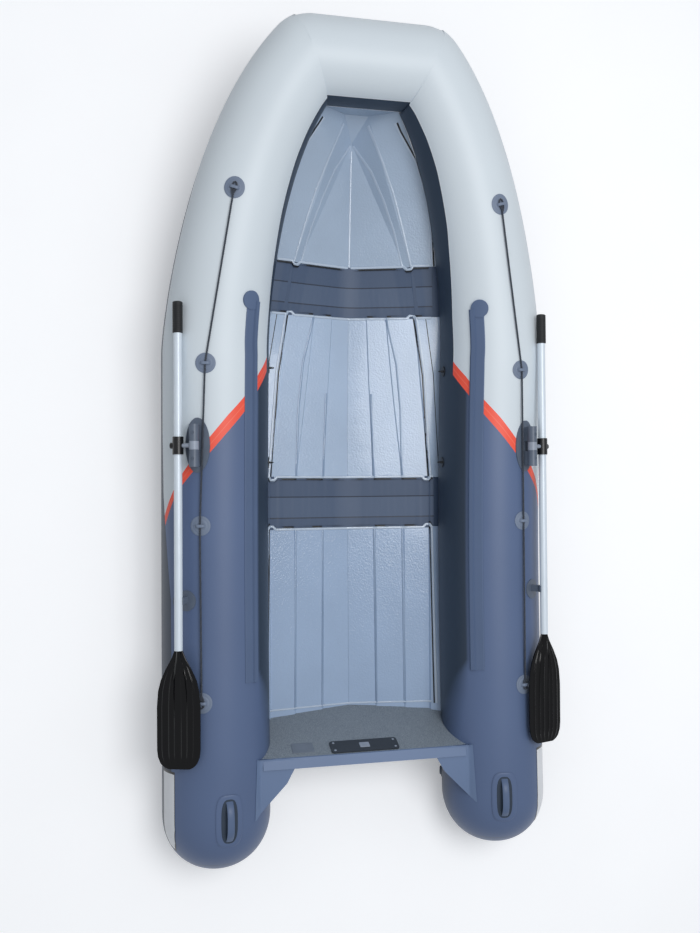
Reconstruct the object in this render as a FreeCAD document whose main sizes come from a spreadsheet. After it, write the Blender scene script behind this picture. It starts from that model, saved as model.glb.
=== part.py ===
import FreeCAD, Part
import math
import os
import Sketcher

from FreeCAD import Placement, Rotation, Vector

# A folding rigid inflatable boat: a U of air tubes round a shallow V hull that is moulded in three
# sections, with a raked transom, seat rails, lifelines and two stowed oars.
# Millimetres. +Y is the bow, +X starboard, +Z up. The origin lies on the centre plane at the
# waterline, below the aftermost point of the tubes.

os.makedirs("parts", exist_ok=True)
doc = FreeCAD.newDocument("folding_inflatable_boat")
sheet = doc.addObject("Spreadsheet::Sheet", "Sizes")

SIZES = (
    ("overall_length", 3600),
    ("tube_beam", 1720),
    ("tube_radius", 230),
    ("bow_tube_radius", 178),
    ("tube_centre_height", 170),
    ("bow_half_width", 256),
    ("bend_length", 1234),
    ("bend_lead_in", 100),
    ("bend_lead_out", 490),
    ("bow_turn_angle", 49),
    ("bow_rise", 304),
    ("rise_start", 946),
    ("tail_length", 236),
    ("tail_cap_length", 50),
    ("seam_clearance", 0.3),
    ("hull_clearance", 0.6),
    ("hull_skin", 6),
    ("hull_joint_angle", 204),
    ("keel_height", -15),
    ("keel_climb", 0.035),
    ("forefoot_rise", 118),
    ("strake_step", 5),
    ("chine_inset", 46),
    ("deadrise_angle", 8.2),
    ("bow_section_length", 797),
    ("forward_joint_width", 225),
    ("mid_section_length", 740),
    ("aft_joint_width", 230),
    ("stem_setback", 240),
    ("blunt_setback", 151),
    ("blunt_half_width", 54),
    ("blunt_drop", 172),
    ("corner_clearance", 16),
    ("joint_fabric", 4),
    ("joint_lap", 24),
    ("transom_foot", 605),
    ("transom_rake", 22),
    ("transom_thickness", 36),
    ("transom_top_height", 327),
    ("knee_reach", 191),
    ("knee_width", 185),
    ("knee_thickness", 14),
    ("motor_pad_width", 300),
    ("inner_pad_height", 78),
    ("outer_pad_height", 150),
    ("motor_pad_thickness", 7),
    ("pad_drop", 10),
    ("strake_width", 66),
    ("strake_thickness", 9),
    ("strake_angle", -30),
    ("rail_width", 66),
    ("rail_thickness", 5),
    ("rail_ridge_height", 13),
    ("rail_ridge_width", 22),
    ("rail_angle", 125),
    ("rail_aft", 800),
    ("rail_front", 2425),
    ("rail_cap_radius", 39),
    ("ring_patch_radius", 42),
    ("ring_patch_thickness", 3),
    ("ring_height", 17.2),
    ("ring_bar_radius", 2),
    ("rope_radius", 4),
    ("rope_play", 1),
    ("handle_position", 250),
    ("handle_angle", 98),
    ("handle_patch_length", 214),
    ("handle_patch_width", 112),
    ("handle_height", 32),
    ("handle_strap_width", 30),
    ("handle_strap_thickness", 5),
    ("oarlock_setback", 385),
    ("oarlock_angle", 67),
    ("oarlock_stand_off", 46),
    ("oarlock_patch_length", 226),
    ("oarlock_patch_width", 104),
    ("oarlock_patch_thickness", 5),
    ("barrel_radius", 20),
    ("barrel_length", 174),
    ("knuckle_length", 35),
    ("knuckle_play", 0.5),
    ("hinge_pin_radius", 6),
    ("hinge_pin_play", 0.05),
    ("stem_length", 70),
    ("stem_radius", 9),
    ("stem_dip_angle", 28),
    ("oar_slope", 1.7),
    ("collar_radius", 22.5),
    ("collar_length", 72),
    ("nut_radius", 12.5),
    ("nut_height", 12),
    ("shaft_radius", 17),
    ("upper_shaft_length", 805),
    ("lower_shaft_length", 487),
    ("grip_radius", 21),
    ("grip_length", 130),
    ("oar_front_reach", 590),
    ("blade_length", 478),
    ("blade_width", 180),
    ("blade_tilt", 18),
    ("blade_thickness", 7),
    ("clip_setback", 200),
    ("clip_play", 1.5),
    ("clip_wall", 5),
    ("clip_length", 28),
    ("clip_patch_radius", 43),
    ("tie_ring_front", 2137),
    ("tie_ring_aft", 1725),
    ("tie_ring_angle", 176),
    ("valve_radius", 29),
    ("valve_angle", 205),
    ("valve_position", 150),
    ("towing_eye_radius", 16),
    ("towing_eye_bar", 5),
    ("keel_guard_width", 56),
    ("keel_guard_thickness", 8),
    ("drain_radius", 19),
    ("drain_offset", 90),
)
for row, (alias, value) in enumerate(SIZES, start=1):
    sheet.set(f"A{row}", alias)
    sheet.set(f"B{row}", str(value))
    sheet.setAlias(f"B{row}", alias)
doc.recompute()


def size(alias):
    return float(sheet.get(alias))


PORT, STARBOARD = -1, 1
SIDES = (("port", PORT), ("starboard", STARBOARD))
X_AXIS, Y_AXIS, Z_AXIS = Vector(1, 0, 0), Vector(0, 1, 0), Vector(0, 0, 1)
parts = []


def keep(obj, label):
    """Give a finished sub-part its node name."""
    obj.Label = label
    parts.append(obj)
    return obj


def solid_part(label, shape):
    """A sub-part whose form is worked out here from the sheet."""
    feature = doc.addObject("Part::Feature", label)
    feature.Shape = shape
    feature.Placement = shape.Placement
    return keep(feature, label)


def merged(shapes):
    """Several touching solids as one."""
    result = shapes[0]
    for other in shapes[1:]:
        result = result.fuse(other)
    return result.removeSplitter()


def on_side(side, shape):
    """A piece worked out for the starboard side, or its mirror image to port."""
    return shape if side == STARBOARD else shape.mirror(Vector(0, 0, 0), X_AXIS)


def unit(vector):
    return Vector(vector).normalize()


# Tube centre line

tube_radius = size("tube_radius")
bow_radius = size("bow_tube_radius")
tube_offset = size("tube_beam") / 2 - tube_radius
bow_line = size("overall_length") - bow_radius
bend_start = bow_line - size("bend_length")
bow_angle = math.radians(size("bow_turn_angle"))
bow_corner_x = size("bow_half_width")
clearance = size("seam_clearance")
hull_clearance = size("hull_clearance")

bend_points = (
    (tube_offset, bend_start),
    (tube_offset, bend_start + size("bend_lead_in")),
    (bow_corner_x + size("bend_lead_out") * math.cos(bow_angle),
     bow_line - size("bend_lead_out") * math.sin(bow_angle)),
    (bow_corner_x, bow_line),
)


def bend_point(t):
    """Point of the plan curve between the straight tube and the bow corner."""
    weights = ((1 - t) ** 3, 3 * (1 - t) ** 2 * t, 3 * (1 - t) * t * t, t ** 3)
    x = sum(w * p[0] for w, p in zip(weights, bend_points))
    y = sum(w * p[1] for w, p in zip(weights, bend_points))
    return x, y


def centre_offset(y):
    """Half distance between the two tube centre lines at a station."""
    if y <= bend_start:
        return tube_offset
    low, high = 0.0, 1.0
    for _ in range(40):
        middle = (low + high) / 2
        if bend_point(middle)[1] < y:
            low = middle
        else:
            high = middle
    return bend_point(low)[0]


def centre_height(y):
    """The tubes lie level aft and rise along a parabola to the bow."""
    lift_share = max(0.0, (y - size("rise_start")) / (bow_line - size("rise_start")))
    return size("tube_centre_height") + size("bow_rise") * lift_share ** 2


def station_radius(y):
    share = min(1.0, max(0.0, (y - bend_start) / (bow_line - bend_start)))
    return tube_radius + (bow_radius - tube_radius) * share


class TubeFrame:
    """Centre, directions and radius of a side tube at a station of its centre line."""

    def __init__(self, side, y):
        self.side, self.y = side, y
        beyond = max(0.0, y - bow_line)
        station = y - beyond
        step = 1.0
        slope_x = (centre_offset(station) - centre_offset(station - step)) / step
        slope_z = (centre_height(station) - centre_height(station - step)) / step
        self.along = unit(Vector(side * slope_x, 1, slope_z))
        self.centre = Vector(side * centre_offset(station), station, centre_height(station))
        self.centre += self.along * (beyond / self.along.y)
        self.out = unit(Vector(side, -slope_x, 0))
        self.up = self.out.cross(self.along) * side
        self.radius = station_radius(station)

    def radial(self, angle):
        turn = math.radians(angle)
        return self.out * math.cos(turn) + self.up * math.sin(turn)

    def point(self, angle, height=0.0):
        return self.centre + self.radial(angle) * (self.radius + height)

    def raised(self, reach, height):
        """The tube near this station as a plain round piece, with its skin raised."""
        aft, front = station_radius(self.y - reach) + height, station_radius(self.y + reach) + height
        hollow = max(0.0, self.radius + height - (aft + front) / 2)
        aft, front = aft + hollow, front + hollow
        start = self.centre - self.along * reach
        if abs(aft - front) < 0.001:
            return Part.makeCylinder(aft, 2 * reach, start, self.along)
        return Part.makeCone(aft, front, 2 * reach, start, self.along)


def placed_along(origin, x_direction, z_direction):
    """Placement whose local Z and X follow two square directions."""
    y_direction = z_direction.cross(x_direction)
    return Placement(origin, Rotation(x_direction, y_direction, z_direction, "ZXY"))


def cylinder_between(start, end, radius):
    return Part.makeCylinder(radius, (end - start).Length, start, end - start)


def half_space(origin, normal, reach=1200.0):
    """A block on the far side of a plane."""
    block = Part.makeBox(2 * reach, 2 * reach, reach, Vector(-reach, -reach, 0))
    block.Placement = Placement(origin, Rotation(Z_AXIS, normal))
    return block


def mitre(side):
    """Plane of the glued corner between a side tube and the bow tube."""
    frame = TubeFrame(side, bow_line)
    return frame.centre, unit(frame.along + Vector(-side, 0, 0))


def behind_mitre(shape, side):
    origin, normal = mitre(side)
    return shape.cut(half_space(origin, normal))


def between_mitres(shape):
    for _, side in SIDES:
        origin, normal = mitre(side)
        shape = shape.cut(half_space(origin, normal * -1))
    return shape


# Air tubes

tail = size("tail_length")
tail_fullness = 2.1


def tail_radius(y):
    """Full rounded tail that closes to a small glued cap."""
    share = (1 - y / tail) ** tail_fullness
    return tube_radius * (1 - share) ** (1 / tail_fullness)


def stations(start, end, count):
    return [start + (end - start) * i / (count - 1) for i in range(count)]


def smooth_line(points, at):
    """A smooth line through points whose stations are known."""
    curve = Part.BSplineCurve()
    curve.interpolate(Points=points, Parameters=at)
    return curve


def closed_solid(faces):
    shell = Part.makeShell(faces)
    shell.sewShape()
    solid = Part.makeSolid(Part.Shell(shell.Faces))
    if solid.Volume < 0:
        solid.reverse()
    return solid


def skinned_tube(frames, height=0.0):
    """A round tube through a row of rings. Each ring is exact and its seam lies underneath."""
    at = [frame.y for frame in frames]
    lines, weights = [], []
    for angle in range(-90, 315, 45):
        weight = 1.0 if angle % 90 == 0 else math.cos(math.pi / 4)
        points = [f.centre + f.radial(angle) * ((f.radius + height) / weight) for f in frames]
        lines.append(smooth_line(points, at))
        weights.append(weight)
    poles = [[line.getPole(k + 1) for line in lines] for k in range(lines[0].NbPoles)]
    surface = Part.BSplineSurface()
    surface.buildFromPolesMultsKnots(
        poles, lines[0].getMultiplicities(), [3, 2, 2, 2, 3], lines[0].getKnots(),
        [0.0, 0.25, 0.5, 0.75, 1.0], False, False, lines[0].Degree, 2, [list(weights) for _ in poles])
    side_face = surface.toShape()
    ends = []
    for frame in (frames[0], frames[-1]):
        for edge in side_face.Edges:
            middle = edge.valueAt((edge.FirstParameter + edge.LastParameter) / 2)
            if edge.isClosed() and abs((middle - frame.centre).dot(frame.along)) < 0.5:
                ends.append(Part.Face(Part.Wire(edge)))
    return closed_solid([side_face] + ends)


def tail_solid(side, start, end, proud=0.0):
    """The tail turned about the tube's axis, from a cap-side station to a straight front end."""
    rounded = stations(start, min(end, tail), 8)
    points = [Vector(tail_radius(y) + proud, y, 0) for y in rounded]
    if start == 0.0:
        points[0] = Vector(0, 0, 0)
        points.insert(1, Vector(tail_radius(rounded[1] * 0.25), rounded[1] * 0.25, 0))
    curve = Part.BSplineCurve()
    curve.interpolate(points)
    edges = [curve.toShape()]
    corner = points[-1]
    if end > tail:
        corner = Vector(points[-1].x, end, 0)
        edges.append(Part.makeLine(points[-1], corner))
    front, aft = Vector(0, corner.y, 0), Vector(0, start, 0)
    edges += [Part.makeLine(corner, front), Part.makeLine(front, aft)]
    if start > 0.0:
        edges.append(Part.makeLine(aft, points[0]))
    turned = Part.Face(Part.Wire(edges)).revolve(Vector(0, 0, 0), Y_AXIS, 360)
    turned.translate(Vector(side * tube_offset, 0, size("tube_centre_height")))
    return turned


def rising_stations():
    """Even stations along the part of the tube that rises and turns in."""
    easing = 40
    straight = stations(size("rise_start"), bend_start - easing, 8)
    return straight + [bend_start] + stations(bend_start + easing, bow_line, 12)


def tube_loft(side):
    overshoot = bow_line + 200
    return skinned_tube([TubeFrame(side, y) for y in rising_stations() + [overshoot]])


cap_front = size("tail_cap_length")
for name, side in SIDES:
    body = behind_mitre(tube_loft(side), side)
    solid_part(f"tube_{name}", merged([tail_solid(side, cap_front, size("rise_start")), body]))
    solid_part(f"tube_end_cap_{name}", tail_solid(side, 0.0, cap_front))

bow_height = centre_height(bow_line)
bow_reach = bow_corner_x + 250
bow_tube = Part.makeCylinder(bow_radius, 2 * bow_reach, Vector(-bow_reach, bow_line, bow_height), X_AXIS)
solid_part("tube_bow", between_mitres(bow_tube))


# Strips that follow a tube: rub strakes and seat rails

def strip_points(frame, angle, profile):
    """A section given as arc offsets and heights on the tube surface."""
    return [frame.point(angle + math.degrees(offset / frame.radius), height) for offset, height in profile]


def strip_wire(frame, angle, profile):
    points = strip_points(frame, angle, profile)
    return Part.makePolygon(points + [points[0]])


def strip_loft(side, angle, profile, at):
    """A strip whose every edge runs smoothly along the tube."""
    rows = [strip_points(TubeFrame(side, y), angle, profile) for y in at]
    edges = [smooth_line(list(column), at).toShape() for column in zip(*rows)]
    faces = [Part.makeRuledSurface(a, b) for a, b in zip(edges, edges[1:] + edges[:1])]
    for row in (rows[0], rows[-1]):
        faces.append(Part.Face(Part.makePolygon(row + [row[0]])))
    return closed_solid(faces)


def underside(half, pieces=6):
    """The seated side of a strip, from its upper edge back to its lower one."""
    return tuple((half - 2 * half * i / pieces, clearance) for i in range(pieces + 1))


def rub_profile():
    half = size("strake_width") / 2
    top = clearance + size("strake_thickness")
    edge = clearance + 3
    return ((-half, clearance), (-half, edge), (-half * 0.62, top), (-half * 0.3, top), (0, top * 0.6),
            (half * 0.3, top), (half * 0.62, top), (half, edge)) + underside(half)[:-1]


strake_aft = tail + 60
for name, side in SIDES:
    level_at = stations(strake_aft, size("rise_start"), 4)
    level = strip_loft(side, size("strake_angle"), rub_profile(), level_at)
    rising = strip_loft(side, size("strake_angle"), rub_profile(), rising_stations() + [bow_line + 120])
    solid_part(f"rub_strake_{name}", merged([level, behind_mitre(rising, side)]))


class BowFrame(TubeFrame):
    """The bow tube runs straight across."""

    def __init__(self, x):
        self.along = Vector(1, 0, 0)
        self.centre = Vector(x, bow_line, bow_height)
        self.out = Vector(0, 1, 0)
        self.up = Vector(0, 0, 1)
        self.radius = bow_radius

    def raised(self, reach, height):
        return Part.makeCylinder(self.radius + height, 2 * reach, self.centre - X_AXIS * reach, X_AXIS)


bow_strip = Part.makeLoft([strip_wire(BowFrame(x), size("strake_angle"), rub_profile())
                           for x in (-bow_reach, bow_reach)], True, True)
solid_part("rub_strake_bow", between_mitres(bow_strip))


def rail_profile():
    half = size("rail_width") / 2
    flange = clearance + size("rail_thickness")
    top = clearance + size("rail_ridge_height")
    ridge = size("rail_ridge_width")
    outer = half - 6
    return ((-half, clearance), (-half, clearance + 2), (-half + 4, flange), (outer - ridge, flange),
            (outer - ridge + 3, top), (outer - 3, top), (outer, flange),
            (half, clearance + 2)) + underside(half)[:-1]


def oval_prism(frame, angle, half_length, half_width, margin):
    """An oval column that stands out from the tube's axis through its surface."""
    normal = frame.radial(angle)
    across = normal.cross(frame.along)
    long_half, short_half = max(half_length, half_width), min(half_length, half_width)
    if long_half - short_half < 0.01:
        outline = Part.Circle(Vector(0, 0, 0), Z_AXIS, long_half)
    else:
        outline = Part.Ellipse(Vector(0, 0, 0), long_half, short_half)
    prism = Part.Face(Part.Wire(outline.toShape())).extrude(Vector(0, 0, frame.radius + margin))
    major = frame.along if half_length >= half_width else across
    prism.Placement = placed_along(frame.centre, major, normal)
    return prism


def surface_patch(frame, angle, half_length, half_width, base, thickness):
    """An oval pad that hugs the tube."""
    prism = oval_prism(frame, angle, half_length, half_width, base + thickness + 40)
    reach = half_length + 20
    return prism.common(frame.raised(reach, base + thickness)).cut(frame.raised(reach + 5, base))


for name, side in SIDES:
    between = [y for y in rising_stations() if size("rail_aft") + 20 < y < size("rail_front") - 20]
    at = [size("rail_aft")] + between + [size("rail_front")]
    rail = strip_loft(side, size("rail_angle"), rail_profile(), at)
    cap_frame = TubeFrame(side, size("rail_front"))
    cap = surface_patch(cap_frame, size("rail_angle") - 4, size("rail_cap_radius"),
                        size("rail_cap_radius"), hull_clearance, 8)
    solid_part(f"seat_rail_{name}", merged([rail, cap]))


# Lines of the moulded hull. Each line gives its half breadth and height at a station.

hull_angle = size("hull_joint_angle")
hull_lean = math.radians(hull_angle - 180)
skin = size("hull_skin")
keel_height = size("keel_height")
band_width, band_rise, strake_lip = 26.0, 18.0, 4.0
bow_aft = bow_line - size("bow_section_length")
mid_front = bow_aft - size("forward_joint_width")
mid_aft = mid_front - size("mid_section_length")
stern_front = mid_aft - size("aft_joint_width")
stem_station = bow_line - size("stem_setback")
chine_width = tube_offset - tube_radius * math.cos(hull_lean) - size("chine_inset")


def blend_curve(knots, y):
    """Reading of a line given by a few stations and values."""
    if y <= knots[0][0]:
        return knots[0][1]
    for (y0, v0), (y1, v1) in zip(knots, knots[1:]):
        if y <= y1:
            return v0 + (v1 - v0) * (y - y0) / (y1 - y0)
    return knots[-1][1]


def edge_point(side, y, drop=0.0):
    """Where the hull skin meets the tube, found at a given station of the boat."""
    low, high = y - 20, min(y + 420, bow_line)
    for _ in range(40):
        middle = (low + high) / 2
        if TubeFrame(side, middle).point(hull_angle, hull_clearance).y < y:
            low = middle
        else:
            high = middle
    frame = TubeFrame(side, low)
    down = frame.out * math.sin(hull_lean) - frame.up * math.cos(hull_lean)
    return frame.point(hull_angle, hull_clearance) + down * drop


def rocker(y):
    """Height of the inner keel line: a gentle climb, then the forefoot's parabola."""
    forefoot_start = stem_station - 1680
    share = max(0.0, (y - forefoot_start) / (stem_station - forefoot_start))
    climb = size("keel_climb") * (y - size("transom_foot"))
    return keel_height + climb + size("forefoot_rise") * share ** 2


def panel_height(y, breadth, step_count):
    """Height of the V bottom at a half breadth, with the strake steps passed on the way out."""
    fullness = blend_curve(((stern_front, 1.0), (mid_front, 1.35), (bow_aft, 1.75)), y)
    rise = breadth * math.tan(math.radians(size("deadrise_angle"))) * fullness
    return rocker(y) + rise + step_count * size("strake_step")


def chine_breadth(y):
    knots = ((mid_aft, chine_width), (mid_front, chine_width * 0.80), (bow_aft, chine_width * 0.66),
             (stem_station, 0.0))
    return blend_curve(knots, y)


def chine_height(y):
    """The chine runs straight from the aft end of the bow section to the apex on the keel."""
    if y <= bow_aft:
        return panel_height(y, chine_breadth(y), 2)
    return blend_curve(((bow_aft, chine_height(bow_aft)), (stem_station, rocker(stem_station))), y)


blunt_station = bow_line - size("blunt_setback")
blunt_height = bow_height - size("blunt_drop")


def band_point(y):
    """Half breadth and height of the flat band's outer line in the bow section."""
    breadth = blend_curve(((bow_aft, chine_breadth(bow_aft) + band_width),
                           (blunt_station, size("blunt_half_width"))), y)
    height = blend_curve(((bow_aft, chine_height(bow_aft) + band_rise), (blunt_station, blunt_height)), y)
    return breadth, height


def section_points(side, y, drop):
    """Half section of the hull from keel to tube, lowered by a share of the skin."""
    chine = chine_breadth(y)
    outer = chine * blend_curve(((stern_front, 0.69), (mid_aft, 0.67), (mid_front, 0.56), (bow_aft, 0.52)), y)
    inner = chine * blend_curve(((stern_front, 0.334), (mid_aft, 0.318), (mid_front, 0.267)), y)
    rows = ((0.0, 0), (inner, 0), (inner + strake_lip, 1), (outer, 1), (outer + strake_lip, 2), (chine, 2))
    stepped = blend_curve(((mid_front, 1.0), (bow_aft, 0.0)), y)
    points = []
    for breadth, steps in rows:
        plain = rocker(y) + (chine_height(y) - rocker(y)) * breadth / chine
        height = stepped * panel_height(y, breadth, steps) + (1 - stepped) * plain
        points.append(Vector(side * breadth, y, height - drop))
    band_breadth, band_height = band_point(y) if y > bow_aft else (chine + band_width, chine_height(y) + band_rise)
    breadth = stepped * (chine + strake_lip) + (1 - stepped) * band_breadth
    height = stepped * panel_height(y, chine + strake_lip, 4) + (1 - stepped) * band_height
    points.append(Vector(side * breadth, y, height - drop))
    points.append(edge_point(side, y, drop))
    return points


def section_wire(y, top_drop, bottom_drop):
    """Closed section of the skin right across the boat at one station."""
    upper = list(reversed(section_points(PORT, y, top_drop)))[:-1] + section_points(STARBOARD, y, top_drop)
    lower = list(reversed(section_points(PORT, y, bottom_drop)))[:-1] + section_points(
        STARBOARD, y, bottom_drop)
    for group in (upper, lower):
        for point in group:
            point.y = y
    ring = upper + list(reversed(lower))
    return Part.makePolygon(ring + [ring[0]])


def hull_shell(at, top_drop, bottom_drop):
    return Part.makeLoft([section_wire(y, top_drop, bottom_drop) for y in at], True, True)


rake = math.radians(size("transom_rake"))
transom_up = Vector(0, -math.sin(rake), math.cos(rake))
transom_aft = Vector(0, -math.cos(rake), -math.sin(rake))
transom_foot = Vector(0, size("transom_foot"), keel_height)

hull_stern = hull_shell(stations(size("transom_foot") - 60, stern_front, 7), 0.0, skin)
hull_stern = hull_stern.cut(half_space(transom_foot - transom_aft * clearance, transom_aft))
solid_part("hull_stern", hull_stern)
solid_part("hull_mid", hull_shell(stations(mid_aft, mid_front, 7), 0.0, skin))


def joint_cover(label, aft, front, front_lap):
    """Fabric band glued under the ends of two hull sections."""
    top = skin + hull_clearance
    at = [aft - size("joint_lap"), aft, (aft + front) / 2, front, front + front_lap]
    solid_part(label, hull_shell(at, top, top + size("joint_fabric")))


joint_cover("hull_joint_aft", stern_front, mid_aft, size("joint_lap"))
joint_cover("hull_joint_forward", mid_front, bow_aft, size("joint_lap") * 0.5)

# Bow section: a V floor that runs to an apex, a flat band round it, and sides that sweep up to
# the bow tube with a blunt front

bow_at = stations(bow_aft, stem_station - 100, 5)
side_at = bow_at + [blunt_station - 80]


def bow_lines(side, drop):
    """Keel, chine, band and edge lines of one half, each from aft to the centre of the front."""
    reach = bow_radius + hull_clearance
    down = Vector(0, math.sin(hull_lean), -math.cos(hull_lean)) * drop
    nose = Vector(0, bow_line - reach * math.cos(hull_lean), bow_height - reach * math.sin(hull_lean)) + down
    apex = Vector(0, stem_station + drop * 0.5, rocker(stem_station) - drop)
    keel = [Vector(0, y, rocker(y) - drop) for y in bow_at] + [apex] * 3
    chine = [Vector(side * chine_breadth(y), y, chine_height(y) - drop) for y in bow_at] + [apex] * 3
    band = [Vector(side * band_point(y)[0], y, band_point(y)[1] - drop) for y in side_at]
    front = Vector(0, blunt_station + drop * 0.9, blunt_height - drop * 0.5)
    band += [front + X_AXIS * (side * size("blunt_half_width")), front]
    edge = [edge_point(side, y, drop) for y in side_at]
    edge[0].y = bow_aft
    mitre_x = bow_corner_x - reach * math.cos(hull_lean) * math.tan(bow_angle / 2)
    corner = nose + X_AXIS * (side * (mitre_x - size("corner_clearance")))
    edge += [corner, nose]
    return keel, chine, band, edge


def panel(a, b, c, d):
    """A face with four straight sides, or three where two corners meet."""
    corners = [a]
    for point in (b, c, d):
        if all((point - other).Length > 0.01 for other in corners):
            corners.append(point)
    if len(corners) < 3:
        return []
    if len(corners) == 3:
        return [Part.Face(Part.makePolygon(corners + [corners[0]]))]
    return [Part.makeRuledSurface(Part.makeLine(a, b), Part.makeLine(d, c))]


def panels(first, second):
    """The faces between two lines of equal count."""
    made = []
    for i in range(len(first) - 1):
        made += panel(first[i], first[i + 1], second[i + 1], second[i])
    return made


def bow_section(top_drop, bottom_drop):
    faces = []
    rows = {}
    for side in (PORT, STARBOARD):
        upper, lower = bow_lines(side, top_drop), bow_lines(side, bottom_drop)
        for lines in (upper, lower):
            for first, second in zip(lines, lines[1:]):
                faces += panels(first, second)
        faces += panels(upper[-1], lower[-1])
        rows[side] = ([line[0] for line in upper], [line[0] for line in lower])
    upper_row = list(reversed(rows[PORT][0]))[:-1] + rows[STARBOARD][0]
    lower_row = list(reversed(rows[PORT][1]))[:-1] + rows[STARBOARD][1]
    ring = upper_row + list(reversed(lower_row))
    faces.append(Part.Face(Part.makePolygon(ring + [ring[0]])))
    return closed_solid(faces)


bow_solid = bow_section(0.0, skin)
bow_bore = Part.makeCylinder(bow_radius + hull_clearance, 2 * bow_reach,
                             Vector(-bow_reach, bow_line, bow_height), X_AXIS)
solid_part("hull_bow", bow_solid.cut(bow_bore))

# Keel guard under the hull

def guard_wire(y, width, gap, thickness):
    top = rocker(y) - skin - gap
    lift = width / 2 * math.tan(math.radians(size("deadrise_angle")))
    points = [Vector(-width / 2, y, top + lift), Vector(0, y, top), Vector(width / 2, y, top + lift),
              Vector(width / 4, y, top - thickness), Vector(-width / 4, y, top - thickness)]
    return Part.makePolygon(points + [points[0]])


guards = []
for aft, front in ((size("transom_foot") + 20, stern_front - 40), (mid_aft + 40, mid_front - 40)):
    wires = [guard_wire(y, size("keel_guard_width"), hull_clearance, size("keel_guard_thickness"))
             for y in stations(aft, front, 7)]
    guards.append(Part.makeLoft(wires, True, True))
solid_part("keel_guards", Part.makeCompound(guards))

# Transom and what is fixed to it

transom_top = size("transom_top_height")


def transom_outline():
    """Outline seen from astern: V foot, hollow sides that seat on the tubes, straight top."""
    reach = tube_radius + clearance
    tube_z = size("tube_centre_height")
    top_x = tube_offset - math.sqrt(reach ** 2 - (transom_top - tube_z) ** 2)
    foot = [Vector(p.x, 0, p.z) for p in section_points(STARBOARD, size("transom_foot"), skin)]
    foot_x = foot[-1].x
    foot_z = foot[-1].z
    side_x = tube_offset - math.sqrt(reach ** 2 - (foot_z - tube_z) ** 2)
    foot[-1] = Vector(side_x, 0, foot_z)
    middle = Vector(tube_offset - reach * math.cos(math.radians(5)), 0,
                    tube_z + reach * math.sin(math.radians(5)))
    edges = []
    for sign in (PORT, STARBOARD):
        points = [Vector(sign * p.x, 0, p.z) for p in foot]
        edges += [Part.makeLine(a, b) for a, b in zip(points, points[1:]) if (a - b).Length > 0.01]
        arc = Part.Arc(points[-1], Vector(sign * middle.x, 0, middle.z), Vector(sign * top_x, 0, transom_top))
        edges.append(arc.toShape())
    edges.append(Part.makeLine(Vector(-top_x, 0, transom_top), Vector(top_x, 0, transom_top)))
    return Part.Face(Part.Wire(Part.__sortEdges__(edges)))


prism = transom_outline().extrude(Vector(0, 900, 0))
slab = Part.makeBox(1400, size("transom_thickness"), 800, Vector(-700, 0, -200))
slab.Placement = Placement(transom_foot + transom_aft * size("transom_thickness"),
                           Rotation(X_AXIS, math.degrees(rake)))
solid_part("transom", prism.common(slab))


def on_transom(face_offset, drop):
    """Point on the centre plane, out from the inner face and down from the top edge."""
    climb = (transom_top - transom_foot.z) / math.cos(rake)
    return transom_foot + transom_up * (climb - drop) + transom_aft * face_offset


def make_pad(label, height, inner):
    """Rounded wear plate for the motor's clamps, sunk-edge form, in the transom's plane."""
    body = doc.addObject("PartDesign::Body", label)
    plane = [f for f in body.Origin.OriginFeatures if f.Role == "XZ_Plane"][0]
    sketch = body.newObject("Sketcher::SketchObject", f"{label}_outline")
    sketch.AttachmentSupport = [(plane, "")]
    sketch.MapMode = "FlatFace"
    half, tall = size("motor_pad_width") / 2, size(height)
    corners = [Vector(-half, 0, 0), Vector(half, 0, 0), Vector(half, tall, 0), Vector(-half, tall, 0)]
    for first, second in zip(corners, corners[1:] + corners[:1]):
        sketch.addGeometry(Part.LineSegment(first, second), False)
    for i in range(4):
        sketch.addConstraint(Sketcher.Constraint("Coincident", i, 2, (i + 1) % 4, 1))
    sketch.addConstraint([Sketcher.Constraint("Horizontal", 2),
                          Sketcher.Constraint("Vertical", 1), Sketcher.Constraint("Vertical", 3)])
    sketch.addConstraint(Sketcher.Constraint("PointOnObject", 0, 1, -1))
    sketch.addConstraint(Sketcher.Constraint("Symmetric", 0, 1, 0, 2, -2))
    wide = sketch.addConstraint(Sketcher.Constraint("DistanceX", 0, 1, 0, 2, 2 * half))
    high = sketch.addConstraint(Sketcher.Constraint("DistanceY", 1, 1, 1, 2, tall))
    sketch.setExpression(f"Constraints[{wide}]", "Sizes.motor_pad_width")
    sketch.setExpression(f"Constraints[{high}]", f"Sizes.{height}")
    pad = body.newObject("PartDesign::Pad", f"{label}_plate")
    pad.Profile = sketch
    pad.Length = size("motor_pad_thickness")
    pad.setExpression("Length", "Sizes.motor_pad_thickness")
    doc.recompute()
    upright = [f"Edge{i + 1}" for i, e in enumerate(pad.Shape.Edges)
               if abs(e.Vertexes[0].Point.y - e.Vertexes[-1].Point.y) > 1]
    fillet = body.newObject("PartDesign::Fillet", f"{label}_corners")
    fillet.Base = (pad, upright)
    fillet.Radius = 12
    body.Tip = fillet
    doc.recompute()
    box = body.Shape.BoundBox
    face = size("transom_thickness") if not inner else 0.0
    drop = size("pad_drop") + tall
    base = on_transom(face, drop)
    turn = Rotation(X_AXIS, math.degrees(rake))
    if inner:
        shift = turn.multVec(Vector(0, clearance - box.YMin, 0))
    else:
        shift = turn.multVec(Vector(0, -clearance - box.YMax, 0))
    body.Placement = Placement(base + shift, turn)
    return keep(body, label)


make_pad("motor_pad_inner", "inner_pad_height", True)
make_pad("motor_pad_outer", "outer_pad_height", False)

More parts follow.
